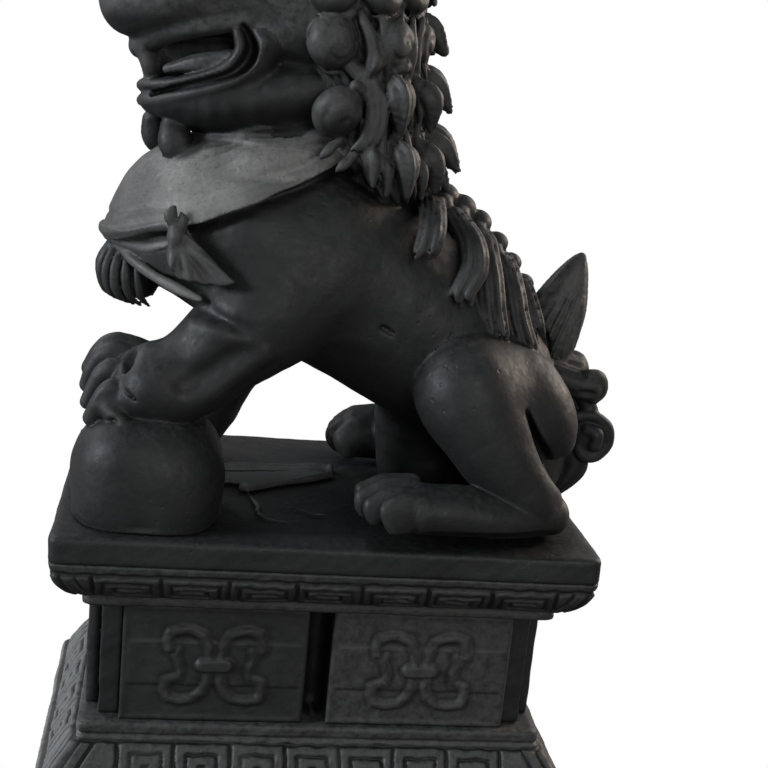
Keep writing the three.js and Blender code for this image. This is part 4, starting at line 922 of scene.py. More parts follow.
def skins(clay):
    """Each piece's (points, quads, normals, edge, hollow) in modules."""
    field = clay.field
    label = np.where(field < 0, settled(clay.label, field < 0), 0)
    first = label[:-1, :-1, :-1]
    mixed = np.zeros(first.shape, bool)
    size = np.array(label.shape) - 1
    for i, j, k in CORNERS[1:]:
        mixed |= label[i:i + size[0], j:j + size[1], k:k + size[2]] != first
    cells = np.argwhere(mixed)
    number = np.full(first.shape, -1, np.int32)
    number[mixed] = np.arange(len(cells))

    at = [(cells + corner).T for corner in CORNERS]
    depth = np.array([field[a[0], a[1], a[2]] for a in at])
    owner = np.array([label[a[0], a[1], a[2]] for a in at])
    total, weight = np.zeros((len(cells), 3)), np.zeros(len(cells))
    for a, b in EDGES:
        outer = (owner[a] == 0) != (owner[b] == 0)
        t = np.where(outer, depth[a] / np.where(outer, depth[a] - depth[b], 1), 0.5)
        w = np.where(outer, 1.0, np.where(owner[a] != owner[b], 1e-6, 0.0))
        total += (CORNERS[a] + (CORNERS[b] - CORNERS[a]) * t[:, None]) * w[:, None]
        weight += w
    place = total / weight[:, None]
    points = clay.low + (cells + place) * clay.step

    slope = np.stack(np.gradient(field), -1)
    normals = sampled(slope, cells, place)
    normals /= np.maximum(np.linalg.norm(normals, axis=1, keepdims=True), TINY)
    del slope
    edge = sampled(blurred(field, EDGE_REACH, clay.step) - field, cells, place) / EDGE_FULL
    # How closed in each point is, which sets the painted shade in hollows
    coarse = 4
    solid = (field < 0).astype(np.float32)[::coarse, ::coarse, ::coarse]
    near = blurred(solid, HOLLOW_REACH, clay.step * coarse)
    nearest = np.minimum((cells / coarse + 0.5).astype(int), np.array(near.shape) - 1)
    hollow = near[nearest[:, 0], nearest[:, 1], nearest[:, 2]] * 2 - 1

    quads = {name: [] for name in PIECES}
    for axis in range(3):
        u, v = (axis + 1) % 3, (axis + 2) % 3
        here = [slice(1, -1)] * 3
        here[axis] = slice(0, -1)
        there = [slice(1, -1)] * 3
        there[axis] = slice(1, None)
        a, b = label[tuple(here)], label[tuple(there)]
        at = np.argwhere(a != b)
        pair = a[tuple(at.T)], b[tuple(at.T)]
        at = at + np.where(np.arange(3) == axis, 0, 1)
        step_u, step_v = np.eye(3, dtype=int)[u], np.eye(3, dtype=int)[v]
        ring = [at - step_u - step_v, at - step_v, at, at - step_u]
        quad = np.stack([number[tuple(r.T)] for r in ring], 1)
        for name in PIECES:
            quads[name].append(quad[pair[0] == LABELS[name]])
            quads[name].append(quad[pair[1] == LABELS[name]][:, ::-1])

    out = {}
    for name in PIECES:
        faces = np.concatenate(quads[name])
        used, faces = np.unique(faces, return_inverse=True)
        out[name] = points[used], faces.reshape(-1, 4), normals[used], edge[used], hollow[used]
    return out


# How pale each piece is made all over: partly dust, and partly painted light, most of all on the tail plume,
# head, nose, ball ribbon, lower moulding and right front panel
DUST_AND_PAINTED_LIGHT = {
    "tail_plume": 1.0, "mane": 0.65, "nose": 0.6, "head": 0.7, "tail_roll_left": 0.2, "back_locks": 0.12,
    "ball_ribbon": 0.4, "lower_moulding": 0.5, "cornice": 0.4, "front_panel_left": 0.08,
    "front_panel_right": 0.5, "rear_panel_left": 0.1, "rear_panel_right": 0.1, "end_panel_left": 0.15,
    "end_panel_right": 0.1, "foot_slab": 0.2, "torso": 0.04,
}


def bib_darkening(x, y, z):
    """Minus the darkening of the bib: painted shade under its hem's folds, under the jaw and round the
    beard, and darker towards its front.
    """
    folds = (
        [[-6.5, 7.45], [-6.1, 7.55], [-5.4, 7.78], [-4.6, 7.95], [-4.3, 7.6], [-4.9, 7.52], [-5.5, 7.32],
         [-6.08, 7.38]],
        [[-6.2, 7.18], [-5.5, 7.1], [-4.9, 7.3], [-4.3, 7.5], [-3.9, 6.3], [-4.65, 6.5], [-5.25, 6.7],
         [-5.8, 6.95]],
    )
    # Darker towards the bib's front
    darkening = 0.6 * np.clip((-4.7 - x) / 1.1, 0, 1)
    # Painted shade under the hem's folds
    for fold in folds:
        darkening = np.maximum(darkening, 0.9 * np.clip(0.3 - outline_distance(fold, x, z) / 0.1, 0, 1))
    # Painted shade under the jaw, graded up from the bib's top
    top = np.interp(x, [-4.4, -2.7, -1.4, 0.2], [10.25, 10.42, 10.55, 11.1])
    darkening = np.maximum(darkening, 0.95 * np.clip((z - top) / 0.2, 0, 1))
    # Painted shadow round the beard's tuft
    beard = np.sqrt(((x + 4.55) / 0.6) ** 2 + ((np.abs(y) - 1.2) / 0.6) ** 2 + ((z - 9.95) / 0.5) ** 2)
    return -np.maximum(darkening, 0.85 * np.clip((1.2 - beard) / 0.3, 0, 1))


def placed(name, data):
    """A new object in the scene."""
    piece = bpy.data.objects.new(name, data)
    bpy.context.scene.collection.objects.link(piece)
    return piece


def finished(name, points, faces, material, slot, normals=None, **values):
    """A mesh object in the frame, smooth, riding on the root and standing for its CAD node."""
    mesh = bpy.data.meshes.new(name)
    mesh.from_pydata(points.tolist(), [], faces)
    mesh.polygons.foreach_set("use_smooth", [True] * len(mesh.polygons))
    values.setdefault("dust_and_painted_light", np.full(len(points), DUST_AND_PAINTED_LIGHT.get(name, 0.0)))
    for key, numbers in values.items():
        mesh.attributes.new(key, "FLOAT", "POINT").data.foreach_set("value", numbers.astype(np.float32))
    mesh.materials.append(material)
    mesh.update()
    if normals is not None:
        mesh.normals_split_custom_set_from_vertices(normals.tolist())
    piece = placed(name + "_cast", mesh)
    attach(piece, "root")
    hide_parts(name)


# Plinth, in millimetres

def wave(seed, scale, *axes):
    """A smooth wandering value between about -1 and 1."""
    rng = np.random.RandomState(seed)
    out = 0
    for octave in range(4):
        phase = rng.rand() * 7
        turn = rng.normal(size=len(axes))
        turn *= (1.3 + octave * 0.9) / scale / np.linalg.norm(turn)
        out = out + np.sin(sum(a * k for a, k in zip(axes, turn)) * 2 * math.pi + phase)
    return out / 2.4


def line_distance(path, u, v):
    """Distance in a plane to an open line through the path's points."""
    best = None
    for (ax, ay), (bx, by) in zip(path, path[1:]):
        rx, ry = bx - ax, by - ay
        t = np.clip(((u - ax) * rx + (v - ay) * ry) / (rx * rx + ry * ry), 0, 1)
        d = np.hypot(u - ax - t * rx, v - ay - t * ry)
        best = d if best is None else np.minimum(best, d)
    return best


def raised(distance, half, soft):
    """1 over a line of that half width, falling to 0 over a soft edge."""
    t = np.clip((half + soft / 2 - distance) / soft, 0, 1)
    return t * t * (3 - 2 * t)


def resampled(profile, spacing):
    """Points of a profile at even steps, its corners kept."""
    out = [profile[0]]
    for a, b in zip(profile, profile[1:]):
        count = max(int(round(math.dist(a, b) / spacing)), 1)
        out += [[a[0] + (b[0] - a[0]) * i / count, a[1] + (b[1] - a[1]) * i / count]
                for i in range(1, count + 1)]
    return np.array(out)


def skin_faces(rings, count):
    """Quads between rings and a fan on each end, for points that start and end with a tip."""
    faces = []
    j = np.arange(count)
    k = (j + 1) % count
    for i in range(rings - 1):
        a, b = 1 + i * count, 1 + (i + 1) * count
        faces += np.stack([a + j, a + k, b + k, b + j], 1).tolist()
    top, last = 1 + (rings - 1) * count, 1 + rings * count
    faces += np.stack([np.zeros(count, int), 1 + k, 1 + j], 1).tolist()
    faces += np.stack([np.full(count, last), top + j, top + k], 1).tolist()
    return faces


def course(name, length, depth, bottom, profile, material, slot, radius=2.5, relief=None,
           spacing=0.75, rough=0.12, place=(0, 0), shade=None):
    """A course of the plinth from its profile of [how far out, height], bottom first."""
    spacing = spacing * COARSER
    along = []
    for side, half in enumerate((length, depth, length, depth)):
        steps = max(int(half / spacing), 3)
        for t in np.linspace(-1, 1, steps):
            along.append((side, t, 0.0))
        along += [(side, 1.0, a) for a in (0.25, 0.5, 0.75)]
    side = np.array([a[0] for a in along])
    t = np.array([a[1] for a in along])
    bend = np.array([a[2] for a in along])
    angle = (side - 1 + bend) * math.pi / 2
    nx, ny = np.cos(angle), np.sin(angle)
    ax = np.select([side == 0, side == 1, side == 2], [t, 1, -t], -1.0)
    ay = np.select([side == 0, side == 1, side == 2], [-1, t, 1], -t)

    profile = resampled(profile, spacing)
    run = np.gradient(profile, axis=0)
    run /= np.maximum(np.linalg.norm(run, axis=1, keepdims=True), TINY)
    travelled = np.concatenate([[0], np.cumsum(np.linalg.norm(np.diff(profile, axis=0), axis=1))])
    rings, edges = [], []

    def ring(out, z, shrink):
        x = (ax * (length / 2 + out - radius) + nx * radius) * shrink
        y = (ay * (depth / 2 + out - radius) + ny * radius) * shrink
        return x, y, np.full(len(x), z, float)

    # Rings across its flat bottom, up its profile and back across its top
    inner = np.linspace(0.12, 0.97, 8 if spacing < 1 else 5)
    for s in inner:
        rings.append(ring(*profile[0], s))
        edges.append(np.zeros(len(t)))
    for (out, z), (du, dz), v in zip(profile, run, travelled):
        x, y, height = ring(out, z, 1)
        u = np.where(side % 2 == 0, x * np.where(side == 0, 1, -1), y * np.where(side == 1, 1, -1))
        lift = rough * wave(3, 34, x, y, height) + rough * 0.4 * wave(4, 9, x, y, height)
        mark = np.zeros(len(t))
        if relief is not None:
            half = np.where(side % 2 == 0, length / 2, depth / 2) + out
            rise, mark = relief(side, u, v, np.where(bend == 0, half - np.abs(u), 0))
            lift = lift + rise
        rings.append((x + nx * dz * lift, y + ny * dz * lift, height - du * lift))
        edges.append(mark)
    for s in inner[::-1]:
        x, y, z = ring(*profile[-1], s)
        rings.append((x, y, z + rough * 0.8 * wave(5, 30, x, y)))
        edges.append(np.zeros(len(t)))
    points = np.array(rings).transpose(0, 2, 1).reshape(-1, 3)
    points = np.vstack([[0, 0, profile[0][1]], points, [0, 0, profile[-1][1]]])
    points += [place[0], place[1], bottom]
    edge = np.concatenate([[0], np.concatenate(edges), [0]])
    faces = skin_faces(len(rings), len(t))
    # Painted shade where the relief's mark falls below zero, and the painted shadow from shade over the top
    hollow = np.maximum(-edge, 0)
    if shade is not None:
        top = points[:, 2] > bottom + profile[-1][1] - 1
        hollow = np.maximum(hollow, shade(points[:, 0], points[:, 1]) * top)
    finished(name, points * MM, faces, material, slot, edge=edge, hollow=hollow)


def tile(name, width, height, thickness, relief, material, slot, place, turn, spacing=0.55):
    """A panel whose outward face carries a relief of (u, v) about its middle."""
    spacing = spacing * COARSER
    nu, nv = int(width / spacing), int(height / spacing)
    grid_u = np.linspace(-width / 2, width / 2, nu + 1)
    grid_v = np.linspace(-height / 2, height / 2, nv + 1)
    u, v = [g.ravel() for g in np.meshgrid(grid_u, grid_v, indexing="ij")]
    margin = np.minimum(width / 2 - np.abs(u), height / 2 - np.abs(v))
    rise, mark = relief(u, v)
    lift = thickness + rise + 0.12 * wave(8, 30, u, v) - 0.5 * np.clip(1 - margin / 0.7, 0, 1) ** 2
    front = np.stack([u, v, lift], 1)
    number = np.arange(len(u)).reshape(nu + 1, nv + 1)
    quads = np.stack([number[:-1, :-1], number[1:, :-1], number[1:, 1:], number[:-1, 1:]], -1)
    faces = quads.reshape(-1, 4).tolist()
    rim = np.concatenate([number[:-1, 0], number[-1, :-1], number[:0:-1, -1], number[0, :0:-1]])
    back = front[rim] * [1, 1, 0]
    start, count = len(front), len(rim)
    for i in range(count):
        k = (i + 1) % count
        faces.append([int(rim[k]), int(rim[i]), start + i, start + k])
    faces.append([start + i for i in range(count)][::-1])
    points = np.vstack([front, back]) @ np.array(turn, float) + place
    edge = np.concatenate([mark, np.zeros(count)])
    # Painted shade where the relief's mark falls below zero
    finished(name, points * MM, faces, material, slot, edge=edge, hollow=np.maximum(-edge, 0))


# Heights of the courses, from the felt up, with a joint between each two
JOINT = 0.3
FELT, FOOT, LOWER, WAIST, CORNICE, SLAB = 1.5, 10.9, 18.6, 35.2, 14.7, 7.6
FOOT_Z = FELT + JOINT
LOWER_Z = FOOT_Z + FOOT + JOINT
WAIST_Z = LOWER_Z + LOWER + JOINT
CORNICE_Z = WAIST_Z + WAIST + JOINT
SLAB_Z = CORNICE_Z + CORNICE + JOINT


def fret(low, high, pitch, half_runs, inset):
    """Relief of a row of keys on a slope: broad raised bands, parted by narrow grooves."""
    height = high - low
    middle = (low + high) / 2
    w, h = pitch / 2, height / 2
    key = [[-w + inset, -h + 0.4], [-w + inset, h - inset], [w - inset, h - inset], [w - inset, -h + inset],
           [-w + inset * 2.1, -h + inset], [-w + inset * 2.1, 0.1 * h], [w - inset * 2.1, 0.1 * h]]

    def relief(side, u, v, room):
        flat = room > 0
        groove = np.zeros(len(u))
        sway = 0.25 * wave(11, 22, u, side * 40.0 + v)
        across = v - middle + sway
        for s in range(4):
            count = int((half_runs[s % 2] * 2 - pitch / 2) // pitch)
            here = flat & (side == s)
            at = u[here] + sway[here]
            index = np.clip(np.round(at / pitch + (count - 1) / 2), 0, count - 1)
            local = (at - (index - (count - 1) / 2) * pitch) * np.where(index % 2 == 0, 1, -1)
            line = raised(line_distance(key, local, across[here]), 0.5, 0.7)
            parting = raised(np.abs(np.abs(local) - w), 0.55, 0.8) * 1.15
            keys = np.maximum(line, parting) * (room[here] > 6.4)
            mitre = np.maximum(raised(np.abs(room[here] - 2.4), 0.4, 0.7),
                               raised(np.abs(room[here] - 6.4), 0.5, 0.8))
            groove[here] = np.maximum(keys, mitre)
        field = raised(np.abs(across) - h, 0.3, 0.9)
        border = raised(np.abs(np.abs(across) - h), 0.5, 0.8)
        fade = 0.75 + 0.25 * wave(12, 26, u, side * 40.0)
        groove = np.maximum(groove * field, border * 1.1) * fade
        # The second value is the mark: wear on the raised field, and painted shade in the grooves and along
        # the borders
        return field * 0.55 - groove * 1.05, field * 0.35 - groove * 1.5

    return relief


def bulged(low, high, bulge, steps=14):
    """A slope from [out, z] to [out, z] that swells outward by the bulge."""
    a, b = np.array(low, float), np.array(high, float)
    run = b - a
    out = np.array([run[1], -run[0]]) / np.linalg.norm(run)
    return [list(a + run * t + out * bulge * 4 * t * (1 - t)) for t in np.linspace(0, 1, steps)]


# The right-hand scroll of a panel: the arms that curl over and under it, and the hook inside
C_UPPER = [[1.7, 1.5], [1.9, 5.5], [3.4, 8.6], [6.2, 10.2], [9.6, 10.4], [12.4, 9.4], [13.3, 7.0],
           [12.9, 4.6]]
C_LOWER = [[1.7, -1.5], [1.8, -5.5], [3.2, -8.6], [5.8, -10.7], [9.4, -11.2], [12.6, -10.6],
           [13.8, -8.2], [13.5, -5.0], [11.2, -4.2]]
C_HOOK = [[10.2, 4.6], [11.0, 2.6], [10.0, 0.6], [9.4, -1.8], [9.9, -4.2]]


def scrolls(u, v):
    """Relief of a panel: two scrolls that face away from a round bar, over a low belt."""
    drift = 0.4 * wave(21, 24, u, v)
    near = None
    for path, half in ((C_UPPER, 1.5), (C_LOWER, 1.5), (C_HOOK, 1.1)):
        for s in (1, -1):
            line = line_distance([[x * s, y] for x, y in path], u + drift * 0.5, v) - half
            near = line if near is None else np.minimum(near, line)
    bar = np.hypot(np.maximum(np.abs(u) - 3.2, 0), v * 1.05) - 2.1
    fade = 0.85 + 0.15 * wave(22, 14, u, v)
    line = raised(near, -0.3, 1.6) * fade
    knob = raised(bar, 0, 1.2)
    belt = raised(np.maximum(np.abs(v - 0.3) - 6.6, np.abs(u) - 24), 0, 0.8)
    inside = raised(np.maximum(np.abs(v) - 12.5, np.abs(u) - 16), 0, 2.0)
    rise = np.maximum(np.maximum(line * 1.1, knob * 1.7), belt * 0.45)
    frame_line = np.minimum(25.0 - np.abs(u), 16.9 - np.abs(v))
    rise = rise + 0.3 * raised(frame_line, 0.9, 1.0)
    moat = raised(np.minimum(near, bar) - 0.9, 0.3, 1.6) * (1 - np.maximum(line, knob)) * inside
    step = raised(np.abs(np.abs(v - 0.3) - 6.9), 0.2, 0.8) * (np.abs(u) < 24)
    # The second value is the mark: wear on the lines and knob, and painted shade on the ground beside them
    # and along the belt's edges
    return rise - 0.12 * moat, np.maximum(line, knob) * 0.7 - 0.35 * np.maximum(moat, step * (near > 0.3))


def plain_field(u, v):
    """Relief of an end panel: a low field inside a frame."""
    return 0.35 * raised(np.minimum(28 - np.abs(u), 16.9 - np.abs(v)), 1.4, 1.2), np.zeros(len(u))


def slab_painted_shadow(x, y):
    """Painted shadow on the slab, between the feet and the ball and under the near hind foot."""
    inner = raised(np.abs(x + 4) - 45, 6, 22) * raised(np.abs(y + 13) - 22, 4, 12)
    sole = raised(np.abs(x - 37) - 25, 2, 8) * raised(np.abs(y + 36) - 12, 2, 5)
    return np.maximum(inner, sole) * (0.85 + 0.15 * wave(31, 30, x, y))


POSTS = {(-1, -1): "corner_post_front_left", (-1, 1): "corner_post_rear_left",
         (1, -1): "corner_post_front_right", (1, 1): "corner_post_rear_right"}
PANELS = {(-1, -1): "front_panel_left", (-1, 1): "front_panel_right",
          (1, -1): "rear_panel_left", (1, 1): "rear_panel_right"}
END_PANELS = {-1: "end_panel_left", 1: "end_panel_right"}


def make_plinth(resin, felt):
    """The courses from the felt up to the slab, the waist's posts and panels, and its core."""
    cast = resin, "cast_resin"
    course("base_felt", 151, 101, 0, [[0, 0.06], [0.15, 0.25], [0.15, FELT - 0.25], [0, FELT]], felt,
           "base_felt", rough=0.1, spacing=1.2)
    foot = [[-1.6, 0], [-0.6, 0.5], [0, 1.6], [0.05, FOOT - 1.9], [-0.35, FOOT - 0.7], [-1.4, FOOT + JOINT]]
    course("foot_slab", 156, 106, FOOT_Z, foot, *cast, rough=0.2)
    ledge = 3.4
    slope = bulged([9.2, 1.7], [0, LOWER - ledge], 0.5)
    lower = [[9.0, 0], [9.2, 0.6], *slope, [-0.05, LOWER - ledge + 0.5], [0.35, LOWER - ledge + 0.9],
             [0.4, LOWER - 0.7], [0.0, LOWER + JOINT]]
    course("lower_moulding", 132, 81, LOWER_Z, lower, *cast, rough=0.18,
           relief=fret(1.2, 16.4, 15.6, (66, 40.5), 3.4), spacing=0.5)
    bead = [[-0.2, 0], [0.35, 0.4], [0.45, 1.3], [0.2, 2.3], [-0.15, 2.7]]
    swell = bulged([0, 3.0], [9.2, CORNICE - 0.3], 2.0)
    course("cornice", 131.6, 81.6, CORNICE_Z, [*bead, *swell, [9.2, CORNICE + JOINT]], *cast,
           rough=0.16, relief=fret(6.2, 16.6, 18.1, (68, 43), 2.7), spacing=0.45)
    top = [[-0.6, 0], [-0.1, 0.35], [0.05, 1.2], [0, SLAB - 1.3], [-0.3, SLAB - 0.45], [-1.1, SLAB]]
    course("top_slab", 150, 100, SLAB_Z, top, resin, "dusty_resin", rough=0.1, shade=slab_painted_shadow)

    post = [[-0.4, 0], [0, 0.5], [0, WAIST - 0.5], [-0.4, WAIST]]
    for (sx, sy), name in POSTS.items():
        course(name, 6, 6, WAIST_Z, post, *cast, radius=0.7, rough=0.14, spacing=0.7,
               place=(sx * 58, sy * 32))
    middle = WAIST_Z + WAIST / 2
    for (face, side), name in PANELS.items():
        turn = [[-face, 0, 0], [0, 0, 1], [0, face, 0]]
        place = [side * 29.25, face * (35 + JOINT), middle]
        tile(name, 51.5, WAIST, 3, scrolls, *cast, place, turn)
    for side, name in END_PANELS.items():
        turn = [[0, side, 0], [0, 0, 1], [side, 0, 0]]
        tile(name, 57.4, WAIST, 3.4, plain_field, *cast, [side * (61 + JOINT), 0, middle], turn,
             spacing=0.8)

    # Core: its plan, notched for the posts and for the two slots, whose feet are rounded
    rings = []
    slot = 3.5  # half the width of a slot, and the radius of its foot
    for z in [0, 0.15, 0.4, 0.8, 1.4, 2.2, 3.5, *np.linspace(5, WAIST, 12)]:
        open_half = slot * math.sqrt(max(1 - max(slot - z, 0) ** 2 / slot ** 2, 0.0004))
        half = [[-54.7, -35], [-open_half, -35], [-open_half * 0.9, -30], [-open_half * 0.8, -26],
                [open_half * 0.8, -26], [open_half * 0.9, -30], [open_half, -35], [54.7, -35],
                [54.7, -28.7], [61, -28.7]]
        plan = half + [[-x, -y] for x, y in half]
        rings.append(np.array([[x, y, z + WAIST_Z] for x, y in plan]))
    points = np.vstack([[[0, 0, WAIST_Z]], *rings, [[0, 0, WAIST_Z + WAIST]]])
    zero = np.zeros(len(points))
    # The core takes the full painted shade all over: it stands back in shadow behind the posts and panels
    finished("waist_core", points * MM, skin_faces(len(rings), len(rings[0])), *cast,
             edge=zero, hollow=zero + 1)


# Materials

class Nodes:
    """Short hands for building the nodes of a material or a world."""

    def __init__(self, owner):
        self.owner = owner
        owner.use_nodes = True
        self.tree = owner.node_tree
        self.shader = self.tree.nodes.get("Principled BSDF")

    def set(self, socket, value):
        if isinstance(value, bpy.types.NodeSocket):
            self.tree.links.new(value, socket)
        elif value is not None:
            socket.default_value = value

    def feed(self, node, **inputs):
        """Sets a node's inputs by their names, with _ for each space."""
        for key, value in inputs.items():
            self.set(node.inputs[key.replace("_", " ")], value)

    def add(self, kind, settings=None, **inputs):
        node = self.tree.nodes.new(kind)
        for key, value in (settings or {}).items():
            setattr(node, key, value)
        self.feed(node, **inputs)
        return node

    def shade(self, **inputs):
        """The material, with these inputs on its own shader."""
        self.feed(self.shader, **inputs)
        return self.owner

    def place(self):
        return self.add("ShaderNodeTexCoord").outputs["Object"]

    def attribute(self, name):
        return self.add("ShaderNodeAttribute", {"attribute_name": name}).outputs["Fac"]

    def noise(self, scale, detail=3.0, place=None, rough=0.55):
        node = self.add("ShaderNodeTexNoise", Scale=scale, Detail=detail, Roughness=rough, Vector=place)
        return node.outputs["Fac"]

    def ramp(self, value, low, high):
        node = self.add("ShaderNodeMapRange", {"interpolation_type": "SMOOTHSTEP"}, Value=value,
                        From_Min=low, From_Max=high)
        return node.outputs["Result"]

    def math(self, operation, a, b):
        node = self.add("ShaderNodeMath", {"operation": operation})
        self.set(node.inputs[0], a)
        self.set(node.inputs[1], b)
        return node.outputs[0]

    def times(self, a, b):
        return self.math("MULTIPLY", a, b)

    def plus(self, a, b):
        return self.math("ADD", a, b)

    def mix(self, share, a, b):
        node = self.add("ShaderNodeMix", {"data_type": "RGBA"}, Factor=share, A=a, B=b)
        return node.outputs["Result"]

    def coat(self, body, share, strength, colour):
        """A body colour with another over it, as much as the share times the strength."""
        return self.mix(self.times(share, strength), body, colour)

    def for_camera(self, seen, unseen):
        """One shader for the camera's own rays and another for all others."""
        path = self.add("ShaderNodeLightPath")
        mix = self.add("ShaderNodeMixShader")
        for socket, value in zip(mix.inputs, (path.outputs["Is Camera Ray"], unseen, seen)):
            self.set(socket, value)
        return mix.outputs[0]


def grey(value, warmth=0.0):
    return (value * (1 + warmth), value, value * (1 - warmth), 1)


def cast_resin(name, base, dust):
    """Matte dark resin: mottled, greyer on its worn edges, dusty where it faces up, pinholed, with painted
    shade underneath and in hollows and painted light on some faces.
    """
    n = Nodes(bpy.data.materials.new(name))
    place = n.place()
    worn, deep, dust_and_painted_light = [n.attribute(key) for key in ("edge", "hollow", "dust_and_painted_light")]
    broad = n.noise(38, 4, place)
    fine = n.noise(420, 4, place, 0.7)
    speck = n.noise(1500, 2, place)
    normal = n.add("ShaderNodeSeparateXYZ", Vector=n.add("ShaderNodeNewGeometry").outputs["Normal"])
    facing = normal.outputs["Z"]

    # The resin's own mottle, a pale bloom and a dark grit
    warmth = 0.09 * dust - 0.05
    body = n.mix(n.ramp(broad, 0.3, 0.72), grey(base * 0.75, warmth), grey(base * 1.35, warmth + 0.02))
    body = n.coat(body, n.ramp(fine, 0.5, 0.8), 0.35, grey(base * 2.4, 0.02))
    bloom = n.ramp(n.noise(900, 3, place, 0.8), 0.56, 0.7)
    body = n.coat(body, bloom, min(dust, 0.35), grey(min(base * 3.0, 0.5), warmth))
    grit = n.ramp(n.noise(750, 3, place, 0.8), 0.48, 0.36)
    body = n.coat(body, grit, 0.6 * dust, grey(base * 0.4))

    # Dust where it faces up, more of it low on the plinth, and painted window light on faces low on the
    # plinth that turn to the left
    height = n.add("ShaderNodeSeparateXYZ", Vector=place).outputs["Z"]
    low = n.ramp(height, 0.036, 0.026)
    up = n.times(n.ramp(facing, 0.1, 0.95), n.ramp(fine, 0.25, 0.75))
    up = n.times(up, n.plus(n.times(low, 2.2), 1.0))
    body = n.coat(body, up, dust, grey(0.13, 0.03))
    # Painted window light on faces low on the plinth that turn to the left
    left = n.times(n.ramp(normal.outputs["X"], -0.45, -0.9), low)
    left = n.times(left, n.ramp(fine, 0.1, 0.7))
    body = n.coat(body, left, 0.9, grey(0.34, 0.02))

    # Dust and painted light all over a piece, or painted shade and darkening where the value is below zero
    body = n.coat(body, dust_and_painted_light, n.ramp(fine, 0.2, 0.7), grey(0.1, 0.02))
    body = n.coat(body, dust_and_painted_light, -1.0, grey(0.012))

    # Painted shade on faces that turn down and in hollows, rubbed along edges, with a few white specks
    under = n.times(n.ramp(facing, -0.12, -0.7), 0.85)
    body = n.mix(under, body, grey(base * 0.35))
    rub = n.times(n.ramp(worn, 0.15, 1.1), n.ramp(broad, 0.2, 0.7))
    body = n.coat(body, rub, 0.55, grey(0.06, 0.01))
    body = n.coat(body, n.ramp(deep, 0.0, 0.5), 0.85, grey(base * 0.15))
    white = n.times(n.ramp(speck, 0.74, 0.79), n.ramp(fine, 0.5, 0.58))
    body = n.coat(body, white, 0.5, grey(0.25))
    gloss = n.plus(n.times(n.ramp(fine, 0.2, 0.8), 0.2), n.times(under, 0.35))

    pits = n.add("ShaderNodeTexVoronoi", {"feature": "F1"}, Scale=260.0, Vector=place)
    hole = n.times(n.ramp(pits.outputs["Distance"], 0.2, 0.08), n.ramp(broad, 0.52, 0.6))
    grain = n.math("SUBTRACT", n.times(fine, 0.5), n.times(hole, 1.2))
    soft = n.add("ShaderNodeBump", Strength=0.5, Distance=0.0012, Height=n.noise(110, 3, place))
    bump = n.add("ShaderNodeBump", Strength=0.35, Distance=0.00035, Height=grain,
                 Normal=soft.outputs["Normal"])
    return n.shade(Base_Color=body, Roughness=n.plus(gloss, 0.46), Specular_IOR_Level=0.42,
                   Normal=bump.outputs["Normal"])


def pressed_felt():
    """Dark green felt, fuzzy and a little worn."""
    n = Nodes(bpy.data.materials.new("pressed_felt"))
    place = n.place()
    fuzz = n.noise(900, 5, place, 0.75)
    broad = n.noise(60, 3, place)
    green = n.mix(fuzz, (0.004, 0.012, 0.007, 1), (0.02, 0.05, 0.03, 1))
    green = n.coat(green, n.ramp(broad, 0.5, 0.8), 0.4, (0.03, 0.04, 0.03, 1))
    bump = n.add("ShaderNodeBump", Strength=0.6, Distance=0.0005, Height=fuzz)
    return n.shade(Base_Color=green, Roughness=0.95, Sheen_Weight=0.4, Normal=bump.outputs["Normal"])


def drawn_steel():
    """Bright rod with fine lines along its length."""
    n = Nodes(bpy.data.materials.new("drawn_steel"))
    stretched = n.add("ShaderNodeMapping", Vector=n.place(), Scale=(1, 1, 0.03))
    lines = n.noise(2500, 3, stretched.outputs["Vector"])
    return n.shade(Base_Color=n.mix(lines, grey(0.45), grey(0.62)), Metallic=1.0,
                   Roughness=n.plus(n.times(lines, 0.25), 0.22))


# Camera, floor and light

PHOTO_PX = 768
FOCAL_PX = 1350
SENSOR_MM = 36
MIDDLE = Vector((0, 0, 0.14))


def aim():
    """The photograph's camera: its own three directions, its place in millimetres and its lens."""
    right = Vector((0.9871, -0.12801, 0.09613))
    down = Vector((0.06028, -0.25911, -0.96396))
    ahead = Vector((0.1483, 0.95733, -0.24806))
    camera = placed("camera", bpy.data.cameras.new("camera"))
    turn = Matrix((right, -down, -ahead)).transposed().to_4x4()
    camera.matrix_world = Matrix.Translation(Vector((-43.19, -386.12, 223.67)) * MM) @ turn
    camera.data.sensor_width = SENSOR_MM
    camera.data.lens = SENSOR_MM * FOCAL_PX / PHOTO_PX
    bpy.context.scene.camera = camera


def lamp(name, place, size, power, color):
    """A square lamp that faces the middle of the figure."""
    light = bpy.data.lights.new(name, "AREA")
    light.size = size
    light.energy = power
    light.color = color
    piece = placed(name, light)
    piece.location = place
    piece.rotation_euler = (MIDDLE - Vector(place)).to_track_quat("-Z", "Y").to_euler()


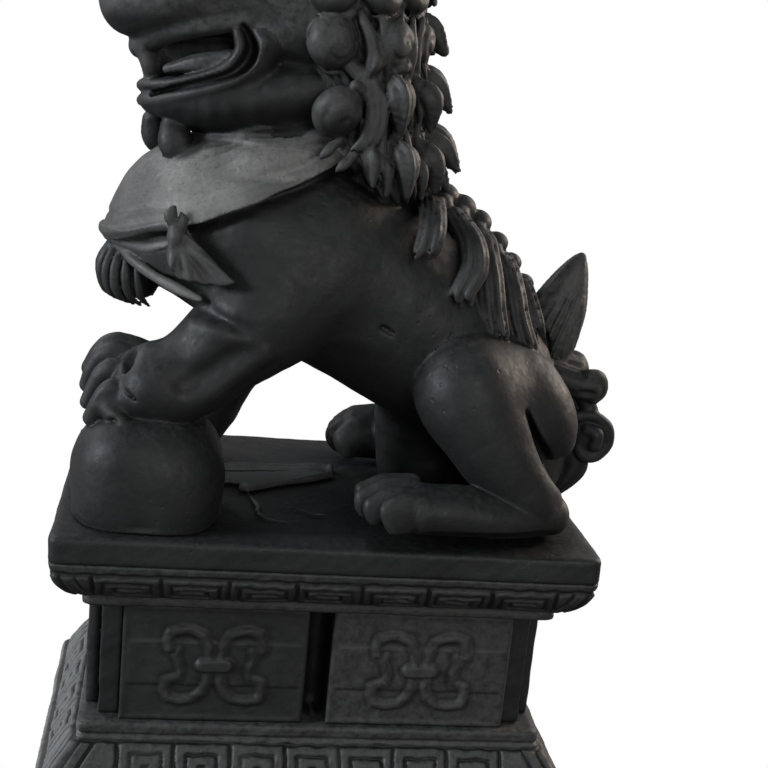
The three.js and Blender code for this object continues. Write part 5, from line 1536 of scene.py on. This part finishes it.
def make_stage():
    """White behind the object, a dim cool sky on it, and the lamps."""
    scene = bpy.context.scene
    scene.view_settings.view_transform = "Standard"
    n = Nodes(bpy.data.worlds.new("studio"))
    scene.world = n.owner
    n.tree.nodes.clear()
    seen = n.add("ShaderNodeBackground", Color=(1, 1, 1, 1))
    sky = n.add("ShaderNodeBackground", Color=(0.86, 0.93, 1.0, 1), Strength=0.15)
    n.add("ShaderNodeOutputWorld", Surface=n.for_camera(seen.outputs[0], sky.outputs[0]))

    lamp("window", (-1.25, -0.3, 0.55), 0.4, 13.5, (0.88, 0.95, 1.0))
    lamp("room", (0.35, -1.3, 0.6), 0.7, 5.0, (1.0, 1.0, 0.96))
    lamp("rear", (0.85, 0.3, 0.45), 0.2, 4.5, (1.0, 0.83, 0.7))
    lamp("garden", (-1.0, 1.0, 1.1), 0.9, 7.0, (0.95, 0.98, 1.0))
    lamp("yard", (1.2, 1.1, 0.9), 0.9, 6.0, (1.0, 0.97, 0.93))


def make_floor():
    """Paper that looks white to the camera and sends little light back up."""
    half = 2.5
    corners = [(-half, -half, 0), (half, -half, 0), (half, half, 0), (-half, half, 0)]
    mesh = bpy.data.meshes.new("floor")
    mesh.from_pydata(corners, [], [(0, 1, 2, 3)])
    n = Nodes(bpy.data.materials.new("white_paper"))
    glow = n.add("ShaderNodeEmission", Color=(1, 1, 1, 1), Strength=1.0)
    n.feed(n.tree.nodes["Material Output"], Surface=n.for_camera(glow.outputs[0], n.shader.outputs[0]))
    mesh.materials.append(n.shade(Base_Color=n.mix(n.noise(30, 2), grey(0.2), grey(0.26)), Roughness=0.9))
    piece = placed("floor", mesh)
    piece.location.z = -0.0005


aim()
resin = cast_resin("cast_resin", 0.014, 0.14)
dusty = cast_resin("dusty_resin", 0.2, 0.9)
worn = cast_resin("worn_resin", 0.06, 0.5)
felt = pressed_felt()
steel = drawn_steel()

clay = sculpt()
cloth = {"bib": dusty, "bow_left": worn, "bow_right": worn}
for name, (points, faces, normals, edge, hollow) in skins(clay).items():
    place = points * MODULE + [0, 0, SLAB_TOP]
    # The bib's value is below zero: painted shade in place of its dust
    shade = {"dust_and_painted_light": bib_darkening(*points.T)} if name == "bib" else {}
    slot = "dusty_resin" if name == "bib" else "cast_resin"
    finished(name, place, faces.tolist(), cloth.get(name, resin), slot, normals, edge=edge,
             hollow=hollow, **shade)
make_plinth(resin, felt)

for name in ("neck_dowel", "front_foot_dowel", "rear_foot_dowel"):
    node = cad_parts[name]
    node.data.materials.clear()
    node.data.materials.append(steel)

make_stage()
make_floor()
